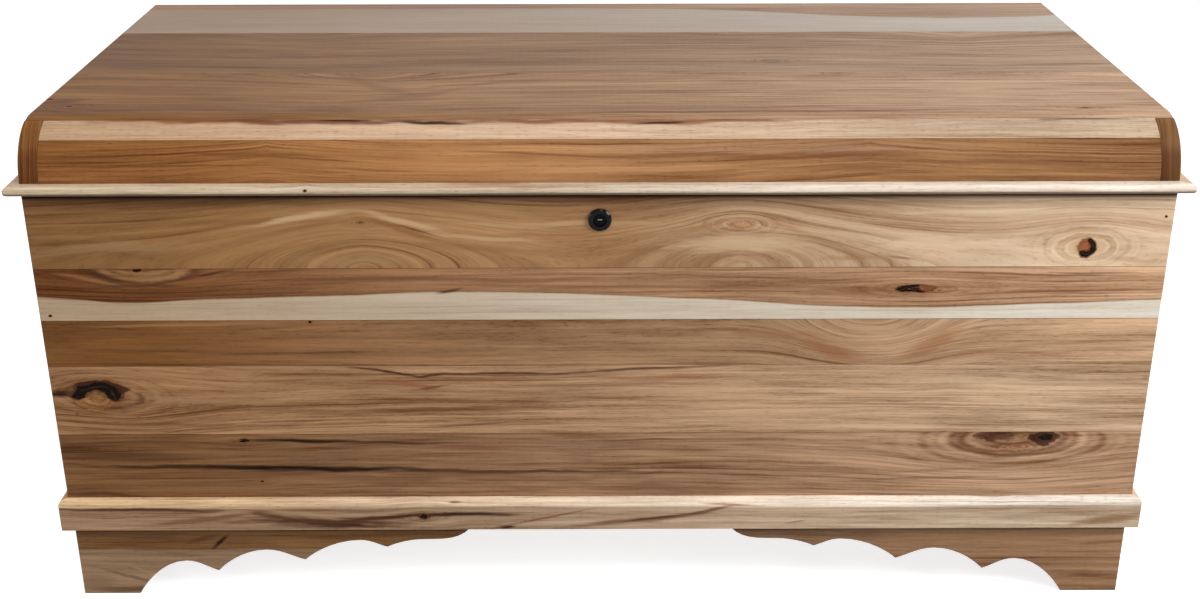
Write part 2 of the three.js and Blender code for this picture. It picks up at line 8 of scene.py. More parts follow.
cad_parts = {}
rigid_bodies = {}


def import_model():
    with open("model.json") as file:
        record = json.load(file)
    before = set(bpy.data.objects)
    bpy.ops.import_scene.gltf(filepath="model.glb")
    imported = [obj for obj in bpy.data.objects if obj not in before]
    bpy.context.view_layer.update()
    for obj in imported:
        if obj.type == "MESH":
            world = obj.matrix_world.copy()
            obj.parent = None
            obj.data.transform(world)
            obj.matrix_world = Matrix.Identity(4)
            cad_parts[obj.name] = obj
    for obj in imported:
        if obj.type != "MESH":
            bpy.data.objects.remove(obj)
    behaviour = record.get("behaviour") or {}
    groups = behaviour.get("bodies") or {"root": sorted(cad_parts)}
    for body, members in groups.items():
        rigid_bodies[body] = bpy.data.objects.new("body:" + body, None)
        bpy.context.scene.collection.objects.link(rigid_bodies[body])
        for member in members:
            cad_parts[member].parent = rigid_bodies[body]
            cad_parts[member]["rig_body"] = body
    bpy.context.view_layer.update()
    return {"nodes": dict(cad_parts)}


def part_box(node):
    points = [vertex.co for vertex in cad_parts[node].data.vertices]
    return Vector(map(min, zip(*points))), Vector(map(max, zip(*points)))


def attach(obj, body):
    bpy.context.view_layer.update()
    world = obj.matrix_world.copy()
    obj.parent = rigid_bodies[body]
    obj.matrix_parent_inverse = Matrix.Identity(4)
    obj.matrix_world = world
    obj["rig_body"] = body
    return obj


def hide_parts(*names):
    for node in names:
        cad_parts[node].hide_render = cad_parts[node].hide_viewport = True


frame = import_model()
nodes = frame["nodes"]
scene = bpy.context.scene
mm = 0.001

# Faces and edges of the chest that everything else is placed from
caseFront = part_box("front_board_5")[0].y
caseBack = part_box("back_board_3")[1].y
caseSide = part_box("front_board_5")[1].x
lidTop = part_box("lid_top_board_middle")[1].z
print("frame loaded:", len(nodes), "pieces")


# Node trees are built from wires, which take the usual arithmetic. The tree being built is kept here.

building = {"tree": None}


class Wire:
    def __init__(self, socket):
        self.socket = socket

    def __add__(self, other):
        return calc("ADD", self, other)

    def __sub__(self, other):
        return calc("SUBTRACT", self, other)

    def __rsub__(self, other):
        return calc("SUBTRACT", other, self)

    def __mul__(self, other):
        return calc("MULTIPLY", self, other)

    def __truediv__(self, other):
        return calc("DIVIDE", self, other)

    def __abs__(self):
        return calc("ABSOLUTE", self)


def feed(node, values):  # values for the inputs, in their order or by name
    for key, value in values.items() if isinstance(values, dict) else enumerate(values):
        if isinstance(value, Wire):
            building["tree"].links.new(value.socket, node.inputs[key])
        else:
            node.inputs[key].default_value = value


def outputsOf(node):  # by number and by name
    return {key: Wire(socket) for number, socket in enumerate(node.outputs) for key in (number, socket.name)}


def addNode(kind, values=(), **settings):
    node = building["tree"].nodes.new("ShaderNode" + kind)
    for name, value in settings.items():
        setattr(node, name, value)
    feed(node, values)
    return outputsOf(node)


def calc(operation, *values):
    return addNode("Math", values, operation=operation)[0]


def root(value):
    return calc("SQRT", value)


def exponent(value):
    return calc("EXPONENT", value)


def remap(value, low, high, toLow=0.0, toHigh=1.0, smooth=True):
    kind = "SMOOTHSTEP" if smooth else "LINEAR"
    return addNode("MapRange", (value, low, high, toLow, toHigh), interpolation_type=kind, clamp=True)[0]


def vector(x, y, z):
    return addNode("CombineXYZ", (x, y, z))[0]


def split(value):
    parts = addNode("SeparateXYZ", (value,))
    return parts[0], parts[1], parts[2]


def noise(place, detail=2.0, roughness=0.5, scale=1.0):
    return addNode("TexNoise", {"Vector": place, "Scale": scale, "Detail": detail, "Roughness": roughness})[0]


def swing(place, detail=2.0, roughness=0.5):  # noise from about -1 to 1
    return calc("MULTIPLY_ADD", noise(place, detail, roughness), 2.0, -1.0)


def blend(factor, low, high, mode="MIX"):
    return addNode("Mix", {0: factor, 6: low, 7: high}, data_type="RGBA", blend_type=mode)[2]


def tinted(surface, tint):
    return blend(1.0, surface, (*tint, 1.0), "MULTIPLY")


def brightnessOf(surface):
    return addNode("RGBToBW", (surface,))[0]


def bumped(height, strength, distance):
    return addNode("Bump", {"Strength": strength, "Distance": distance, "Height": height})[0]


def colour(rgb):  # 0 to 255 as seen on a screen, to the renderer's linear values
    return [c / 3294.6 if c <= 10.31 else ((c / 255 + 0.055) / 1.055) ** 2.4 for c in rgb] + [1.0]


def newMaterial(name):
    material = bpy.data.materials.new(name)
    material.use_nodes = True
    building["tree"] = material.node_tree
    return material, material.node_tree.nodes["Principled BSDF"]


socketKinds = {"Place": "Vector", "Face": "Vector", "Color": "Color", "Worn": "Color"}


def newGroup(name, inputs, outputs):
    tree = building["tree"] = bpy.data.node_groups.new(name, "ShaderNodeTree")
    for way, labels in (("INPUT", inputs), ("OUTPUT", outputs)):
        for label in labels:
            kind = "NodeSocket" + socketKinds.get(label, "Float")
            tree.interface.new_socket(label, in_out=way, socket_type=kind)
    return outputsOf(tree.nodes.new("NodeGroupInput")), tree.nodes.new("NodeGroupOutput")


def useGroup(name, values):
    return addNode("Group", values, node_tree=bpy.data.node_groups[name])


# Growth rings of the log a board was sawn from. The pith runs along the board at Pith Level, as
# deep under the face as Pith Depth, and comes near the face at the two figures.

def makeRingField():
    given, result = newGroup("ringField", [
        "Place", "Seed", "Wave", "Blunt", "Pith Level", "Pith Depth", "Figure A", "Width A", "Rise A",
        "Figure B", "Width B", "Rise B",
    ], ["Rings"])
    x, y, z = split(given["Place"])
    seed, wave = given["Seed"], given["Wave"]
    drift = swing(vector(x * 2.1 + seed, y * 3.0, z * 5.0), 1.0)
    ripple = swing(vector(x * 9.0 + seed, y * 12.0, z * 26.0), 2.0)
    level = z + drift * wave * 1.6 + ripple * wave * 0.55

    def away(letter):  # 0 at a figure that rises fully, 1 far from it
        reach = abs(x - given["Figure " + letter]) / given["Width " + letter]
        return 1.0 - exponent(calc("POWER", reach, given["Blunt"]) * -1.0) * given["Rise " + letter]

    depth = given["Pith Depth"] * root(away("A") * away("B")) + y
    rise = level - given["Pith Level"]
    feed(result, {"Rings": root(rise * rise + depth * depth)})


# A knot: the grain flows round it. It has a broken rim, a bud with its own rings, and a dark heart
# that may be a hook. Point draws its two ends out along the grain.

def makeKnot():
    given, result = newGroup("knot", [
        "Place", "Face", "Seed", "X", "Z", "Half Length", "Half Height", "Tilt", "Flow Length", "Flow Height",
        "Bend", "Point", "Ragged", "Hook Angle", "Hook Open", "Heart",
    ], ["Place", "Rim", "Bud", "Heart", "Char", "Rings", "Tone"])
    ragged, hookAngle, hookOpen = given["Ragged"], given["Hook Angle"], given["Hook Open"]
    x, y, z = split(given["Face"])
    flowedX, flowedY, flowedZ = split(given["Place"])
    offX, offZ = x - given["X"], z - given["Z"]
    dx = offX / given["Half Length"]
    dz = (offZ - offX * given["Tilt"]) / given["Half Height"]

    flowX = dx * dx / (given["Flow Length"] * given["Flow Length"])
    flowZ = dz * dz / (given["Flow Height"] * given["Flow Height"])
    pull = exponent((flowX + flowZ) * -1.0)
    bent = flowedZ - offZ * pull * given["Bend"]

    def shaken(rate, start):
        return swing(vector(dx * rate, dz * rate, given["Seed"] + start), 4.0, 0.6)

    wideX = dx + shaken(0.9, 3.0) * ragged * 1.4
    wideZ = dz + shaken(1.2, 9.0) * ragged * 1.4
    squareX, squareZ = wideX * wideX, wideZ * wideZ
    narrowing = squareX * given["Point"] + 1.0
    distance = root(squareX + squareZ * narrowing) + shaken(4.0, 17.0) * ragged * 0.5

    broken = remap(shaken(1.1, 31.0), -0.45, 0.15)
    facing = (wideX * calc("COSINE", hookAngle) + wideZ * calc("SINE", hookAngle)) / (distance + 0.05)
    side = remap(facing, hookOpen, hookOpen + 0.45)
    hooked = calc("GREATER_THAN", hookOpen, -1.5)
    hookOff = abs(distance - 0.74) + (1.0 - side) * 0.4

    def dark(swell):
        hook = remap(hookOff, 0.32 + swell, 0.22 + swell) * hooked
        reach = given["Heart"] + swell
        centre = remap(distance, reach, reach * 0.72) * calc("GREATER_THAN", given["Heart"], 0.01)
        return calc("MAXIMUM", hook, centre)

    oval = root(flowX + flowZ) + shaken(0.5, 57.0) * 0.1
    rings = calc("SINE", oval * 25.0) * 0.5 + calc("SINE", oval * 61.0) * 0.3 - 0.3
    feed(result, {
        "Place": vector(flowedX, flowedY, bent), "Rim": remap(abs(distance - 1.0), 0.16, 0.02) * broken,
        "Bud": remap(distance, 1.1, 0.85), "Heart": dark(0.0), "Char": dark(0.14),
        "Rings": calc("SINE", distance * 19.0) * 0.5 + shaken(2.6, 43.0),
        "Tone": rings * remap(oval, 1.15, 0.3),
    })


# Light and dark of the wood itself: ring lines that fade in and out, broad bands, streaks, fibres

def makeGrainTone():
    given, result = newGroup("grainTone", [
        "Place", "Rings", "Seed", "Ring Gap", "Lines", "Bands", "Streaks", "Fibres",
    ], ["Tone", "Relief"])
    x, y, z = split(given["Place"])
    seed, rings, lines = given["Seed"], given["Rings"], given["Lines"]

    def along(lengthRate, ringRate, detail, roughness=0.5):
        place = vector(x * lengthRate + seed, y * 4.0 + seed, rings * ringRate)
        return swing(place, detail, roughness)

    def fraction(value):
        return calc("FRACT", value)

    phase = rings / given["Ring Gap"] + along(0.3, 38.0, 1.0) * 1.7 + along(2.4, 30.0, 1.0) * 0.5
    part = fraction(phase)
    ring = vector(calc("FLOOR", phase), seed, 0.0)
    ringTone = addNode("TexWhiteNoise", {"Vector": ring}, noise_dimensions="2D")["Value"]
    line = exponent(part * -9.0) + exponent((1.0 - part) * -22.0)
    fade = remap(along(3.6, 48.0, 2.0), -0.15, 0.4)
    bands = along(2.3, 24.0, 2.0) + calc("MULTIPLY_ADD", ringTone, 2.0, -1.0) * 0.12
    streaks = along(8.5, 240.0, 3.0, 0.62)
    fibres = along(30.0, 1300.0, 2.0)
    pores = remap(along(120.0, 2300.0, 0.0), 0.28, 0.5)
    fineFade = remap(along(2.6, 120.0, 2.0), -0.1, 0.5)
    fineLine = exponent(fraction(phase * 3.3 + along(3.1, 90.0, 1.0) * 0.6) * -5.0) * fineFade
    paleOff = (fraction(phase * 1.7) - 0.5) * 5.0
    paleFade = remap(along(2.2, 70.0, 2.0), -0.1, 0.45)
    paleLine = exponent(paleOff * paleOff * -1.0) * paleFade
    tone = paleLine * lines * 0.55 + 0.58 + bands * given["Bands"] * 1.6 + streaks * given["Streaks"] * 1.5
    tone = tone + fibres * given["Fibres"] * 0.5 - line * fade * lines - fineLine * lines * 0.75
    feed(result, {
        "Tone": tone - pores * given["Fibres"] * 0.5,
        "Relief": fibres * 0.35 + streaks * 0.3 - pores * 0.6,
    })


def makeWoodTint():
    given, result = newGroup("woodTint", ["Color", "Tone"], ["Color"])
    dark, light = tinted(given["Color"], (0.45, 0.30, 0.175)), tinted(given["Color"], (1.55, 1.62, 1.7))
    shaded = blend(remap(given["Tone"], 0.5, 0.0, smooth=False), given["Color"], dark)
    feed(result, {"Color": blend(remap(given["Tone"], 0.5, 1.0, smooth=False), shaded, light)})


# A stain, bark streak or pit, long along the grain. It creeps a little after the wood's own light and
# dark, and as each one waits for the colour before it, a board may have any number of them.

def makeStreak():
    given, result = newGroup("streak", [
        "Place", "Color", "Seed", "X", "Z", "Half Length", "Half Height", "Slope",
    ], ["Mask"])
    creep = (brightnessOf(given["Color"]) - 0.25) * 0.0012
    x, y, z = split(addNode("VectorMath", (given["Place"], vector(creep, 0.0, creep)), operation="ADD")[0])
    offX = x - given["X"]
    wobble = swing(vector(x * 14.0, given["Seed"], 0.0), 2.0)
    offZ = z - (offX * given["Slope"] + given["Z"]) - wobble * given["Half Height"] * 1.3
    reachX, reachZ = offX / given["Half Length"], offZ / given["Half Height"]
    frayed = swing(vector(x * 45.0, given["Seed"], z * 700.0), 2.0)
    feed(result, {"Mask": remap(root(reachX * reachX + reachZ * reachZ) + frayed * 0.35, 1.05, 0.25)})


makeRingField()
makeKnot()
makeGrainTone()
makeWoodTint()
makeStreak()

# How a board lies: its grain along x, its width along z, and y the depth under its face
lies = {
    "front": ((0, 0, 0), (0, -caseFront, 0)),
    "back": ((0, 0, math.pi), (0, caseBack, 0)),
    "left": ((0, 0, math.pi / 2), (0, caseSide, 0)),
    "right": ((0, 0, -math.pi / 2), (0, caseSide, 0)),
    "top": ((math.pi / 2, 0, 0), (0, lidTop, -caseFront)),
    "upright": ((0, math.pi / 2, 0), (0, 0, 0)),
}

# What a board is unless it says otherwise, in mm. It runs from its low colour to its high one, maybe by
# way of a middle one. Pith is a level and a depth, a figure a place, a width and a rise, an edge a level,
# a reach and a strength; an edge is a dark line, a dark joint at board seams and painted shade under
# the mouldings. Under is the strength of painted shade on faces that look down. A knot's hook is its
# angle and how far it opens, which is -2 for no hook.

plainWood = {
    "lie": "front", "seed": 0.0, "low": (156, 118, 83), "high": (156, 118, 83), "middle": None, "wave": 3.0,
    "pith": (-900, 40), "figures": [], "gap": 7.0, "blunt": 1.15, "lines": 0.5, "bands": 0.5, "streaks": 0.5,
    "fibres": 0.5, "knots": [], "stains": [], "edges": [], "under": 0.0, "sap": None, "calm": None,
    "roughness": 0.4, "coat": 0.14, "gloss": 0.035,
}
plainSap = {"ragged": 1.2, "soft": 0.8, "calm": 0.35, "line": 0.0}
plainKnot = {
    "flow": (5.0, 2.5), "hook": (0, -2.0), "heart": 0.5, "tilt": 0.0, "point": 0.6, "ragged": 0.3,
    "bend": 0.88, "rings": 0.2, "budRings": 0.22, "bud": (158, 98, 48), "budMix": 0.7, "rim": 0.5,
    "core": (16, 9, 6),
}
noFigure = (9000, 100)  # out of sight, where it does nothing
curveReach = 600  # the edge of the sapwood is given this far to each side of the middle
# Of these tints one darkens seams between boards and paints the shade under the mouldings, and one paints
# shade on faces that look down.
woodFinish = {
    "bark": (66, 36, 19), "endGrain": (0.60, 0.52, 0.46), "gathered": (0.12, 0.08, 0.06),
    "underside": (0.16, 0.12, 0.09), "endGrainMix": 0.85, "charMix": 0.75, "plainTone": 0.55,
    "sapLine": 1.6 * mm, "smoothest": 0.2, "grainShine": -0.07, "endRoughness": 0.15,
    "bumpStrength": 0.35, "bumpDepth": 0.25 * mm, "coatRoughness": 0.2,
}


def knotAt(*size, **details):  # place along the board and up it, half length and half height
    return {**plainKnot, "size": size, **details}


def knotPart(*size, **details):  # a part of a knot, which the grain doesn't flow round
    return knotAt(*size, bend=0.0, rings=0.0, **details)


# On the front boards and the lid's top boards the darker left end and paler right end are partly the wood's
# own tone and partly painted light and sheen from the right.
def gradedColour(x, low, high, middle=None):  # from one end of a board to the other
    if middle is None:
        return blend(remap(x, -0.45, 0.45, smooth=False), colour(low), colour(high))
    near = blend(remap(x, -0.4, 0.0, smooth=False), colour(low), colour(middle))
    return blend(remap(x, 0.0, 0.4, smooth=False), near, colour(high))


def sapLevel(x, sap, seed):  # the height of the edge of the sapwood, which runs along the board
    curve = building["tree"].nodes.new("ShaderNodeFloatCurve")
    points = curve.mapping.curves[0].points
    while len(points) < len(sap["edge"]):
        points.new(0.5, 0.5)
    for spot, (along, level) in zip(points, sap["edge"]):
        spot.location = ((along + curveReach) / (2 * curveReach), (level - sap["base"]) / sap["span"])
    curve.mapping.update()
    feed(curve, {"Value": (x + curveReach * mm) / (2 * curveReach * mm)})
    level = outputsOf(curve)[0] * (sap["span"] * mm) + sap["base"] * mm
    return level + swing(vector(x * 22.0, seed, 0.0), 3.0) * (sap["ragged"] * mm)


def spotSize(x, z, long, high):
    return {"X": x * mm, "Z": z * mm, "Half Length": long * mm, "Half Height": high * mm}


def woodTint(tint, tone):
    return useGroup("woodTint", {"Color": tint, "Tone": tone})["Color"]


def woodMaterial(name, wood):
    wood = {**plainWood, **wood}
    material, shader = newMaterial(name)
    coords = addNode("TexCoord")
    turn, shift = lies[wood["lie"]]
    laid = {"Vector": coords["Object"], "Rotation": turn, "Location": shift}
    place = addNode("Mapping", laid, vector_type="POINT")[0]
    laidNormal = addNode("Mapping", {"Vector": coords["Normal"], "Rotation": turn}, vector_type="NORMAL")[0]
    x, y, z = split(place)
    seed, bark = wood["seed"], colour(woodFinish["bark"])

    knots = []
    bent = place
    for index, knot in enumerate(wood["knots"]):
        made = useGroup("knot", {
            "Place": bent, "Face": place, "Seed": seed + 3.7 * index, **spotSize(*knot["size"]),
            "Flow Length": knot["flow"][0], "Flow Height": knot["flow"][1],
            "Hook Angle": math.radians(knot["hook"][0]), "Hook Open": knot["hook"][1],
            **{key.capitalize(): knot[key] for key in ("heart", "tilt", "point", "ragged", "bend")},
        })
        knots.append((knot, made))
        bent = made["Place"]

    field = {
        "Place": bent, "Seed": seed, "Wave": wood["wave"] * mm, "Blunt": wood["blunt"],
        "Pith Level": wood["pith"][0] * mm, "Pith Depth": wood["pith"][1] * mm,
    }
    for letter, (middle, width, *rise) in zip("AB", wood["figures"] + [noFigure] * 2):
        field["Figure " + letter] = middle * mm
        field["Width " + letter] = width * mm
        field["Rise " + letter] = rise[0] if rise else 1.0
    rings = useGroup("ringField", field)["Rings"]
    grain = useGroup("grainTone", {
        "Place": bent, "Rings": rings, "Seed": seed, "Ring Gap": wood["gap"] * mm,
        **{key.capitalize(): wood[key] for key in ("lines", "bands", "streaks", "fibres")},
    })
    tone = grain["Tone"]
    for knot, made in knots:
        tone = tone + made["Tone"] * knot["rings"]

    base = gradedColour(x, wood["low"], wood["high"], wood["middle"])
    if wood["sap"]:  # paler or darker wood below an edge along the board; on the front base moulding the pale wood above it is partly painted highlight
        sap = {**plainSap, **wood["sap"]}
        depth = sapLevel(x, sap, seed) - z
        below = remap(depth, -sap["soft"] * mm, sap["soft"] * mm)
        base = blend(below, base, gradedColour(x, sap["low"], sap["high"]))
        tone = (tone - 0.5) * remap(below, 0.0, 1.0, 1.0, sap["calm"]) + 0.5
        tone = tone - remap(abs(depth), woodFinish["sapLine"], 0.0) * sap["line"]
    surface = woodTint(base, tone)

    for index, (*size, slope, red, green, blue, strength) in enumerate(wood["stains"]):
        mask = useGroup("streak", {
            "Place": place, "Color": surface, "Seed": seed + 1.3 * index, **spotSize(*size), "Slope": slope,
        })["Mask"]
        surface = blend(mask * strength, surface, colour((red, green, blue)))
    if wood["calm"]:  # towards this end the wood is plainer: from, to, share left
        start, stop, share = wood["calm"]
        plainTint = woodTint(base, woodFinish["plainTone"])
        surface = blend(remap(x, start * mm, stop * mm, 1.0, share), plainTint, surface)
    for knot, made in knots:
        budTone = tone * 0.5 + 0.12 + made["Rings"] * knot["budRings"]
        surface = blend(made["Bud"] * knot["budMix"], surface, woodTint(colour(knot["bud"]), budTone))
        surface = blend(made["Rim"] * knot["rim"], surface, bark)
        surface = blend(made["Char"] * woodFinish["charMix"], surface, bark)
        core = blend(remap(made["Rings"], 0.1, 0.9), colour(knot["core"]), bark)
        surface = blend(made["Heart"], surface, core)
    for level, reach, strength in wood["edges"]:  # a dark line along a straight edge: a dark joint at board seams, painted shade under the mouldings
        gathered = remap(abs(z - level * mm), reach * mm, 0.0) * strength
        surface = blend(gathered, surface, tinted(surface, woodFinish["gathered"]))
    if wood["under"]:  # painted shade: faces that look down are darker
        downFacingShadeMask = remap(split(coords["Normal"])[2], -0.1, -0.5, 0.0, wood["under"])
        surface = blend(downFacingShadeMask, surface, tinted(surface, woodFinish["underside"]))

    endGrain = remap(abs(split(laidNormal)[0]), 0.75, 0.92)
    surface = blend(endGrain * woodFinish["endGrainMix"], surface, tinted(surface, woodFinish["endGrain"]))
    shine = remap(brightnessOf(surface), 0.01, 0.08, 0.15, 1.0)  # bark and pits hold no gloss
    rough = grain["Relief"] * woodFinish["grainShine"] + wood["roughness"]
    rough = calc("MAXIMUM", rough + endGrain * woodFinish["endRoughness"], woodFinish["smoothest"])
    feed(shader, {
        "Base Color": surface, "Roughness": rough, "Specular IOR Level": wood["gloss"],
        "Coat Weight": shine * wood["coat"], "Coat Roughness": woodFinish["coatRoughness"],
        "Normal": bumped(grain["Relief"], woodFinish["bumpStrength"], woodFinish["bumpDepth"]),
    })
    return material


# Small helpers for shaping pieces

slack = {
    "merge": 0.01 * mm, "flat": math.radians(0.3), "cut": 0.001 * mm, "turned": 0.005 * mm,
    "level": 0.05 * mm,
}


def copyOf(nodeName):
    form = bmesh.new()
    form.from_mesh(nodes[nodeName].data)
    bmesh.ops.remove_doubles(form, verts=form.verts, dist=slack["merge"])
    bmesh.ops.dissolve_limit(form, angle_limit=slack["flat"], verts=form.verts, edges=form.edges)
    return form


def easeEdges(form, wanted, width, segments=3):
    edges = [edge for edge in form.edges if wanted(edge)]
    bmesh.ops.bevel(
        form, geom=edges, offset=width, offset_type="OFFSET", affect="EDGES", segments=segments,
        profile=0.5, material=-1, clamp_overlap=True)


def sharperThan(turn):
    return lambda edge: edge.calc_face_angle(0.0) > turn


def edgeAt(axis, value):
    return lambda edge: all(abs(corner.co[axis] - value) < slack["level"] for corner in edge.verts)


def cutAway(form, place, normal):  # removes what lies beyond a plane and closes the cut
    geometry = form.verts[:] + form.edges[:] + form.faces[:]
    bmesh.ops.bisect_plane(
        form, geom=geometry, dist=slack["cut"], plane_co=place, plane_no=normal, clear_outer=True)
    rim = [edge for edge in form.edges if edge.is_boundary]
    if rim:
        bmesh.ops.edgeloop_fill(form, edges=rim)


def roundUprights(form, low, high, radius):  # rounds the four upright corners of a box's outline
    for signX, sideX in ((-1, low[0]), (1, high[0])):
        for signY, sideY in ((-1, low[1]), (1, high[1])):
            centre = Vector((sideX - signX * radius, sideY - signY * radius, 0))
            for degrees in (22.5, 45, 67.5):
                angle = math.radians(degrees)
                normal = Vector((signX * math.cos(angle), signY * math.sin(angle), 0))
                cutAway(form, centre + normal * radius, normal)


def finish(form, name, like, material, sharp=35, replaced=None):
    form.normal_update()
    for edge in form.edges:
        edge.smooth = edge.calc_face_angle(0.0) < math.radians(sharp)
    mesh = bpy.data.meshes.new(name)
    form.to_mesh(mesh)
    form.free()
    mesh.polygons.foreach_set("use_smooth", [True] * len(mesh.polygons))
    mesh.materials.append(material)
    piece = bpy.data.objects.new(name, mesh)
    scene.collection.objects.link(piece)
    weighted = piece.modifiers.new("evenShading", "WEIGHTED_NORMAL")
    weighted.keep_sharp = True
    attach(piece, nodes[like]["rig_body"])
    if replaced:
        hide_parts(*replaced)


def finishWood(form, name, wood):
    finish(form, name + "_wood", name, woodMaterial(name, wood), replaced=[name])


def finishMetal(name, ending, material, edgeWidth=0.25 * mm, turn=1.2):  # a CAD piece, its edges eased
    form = copyOf(name)
    easeEdges(form, sharperThan(turn), edgeWidth, 2)
    finish(form, name + ending, name, material, replaced=[name])


# Case walls: glued boards, mitred at the corners. A stain is its place, half length, half height,
# slope, colour and strength.

caseFinish = {"cornerRadius": 1.6 * mm}
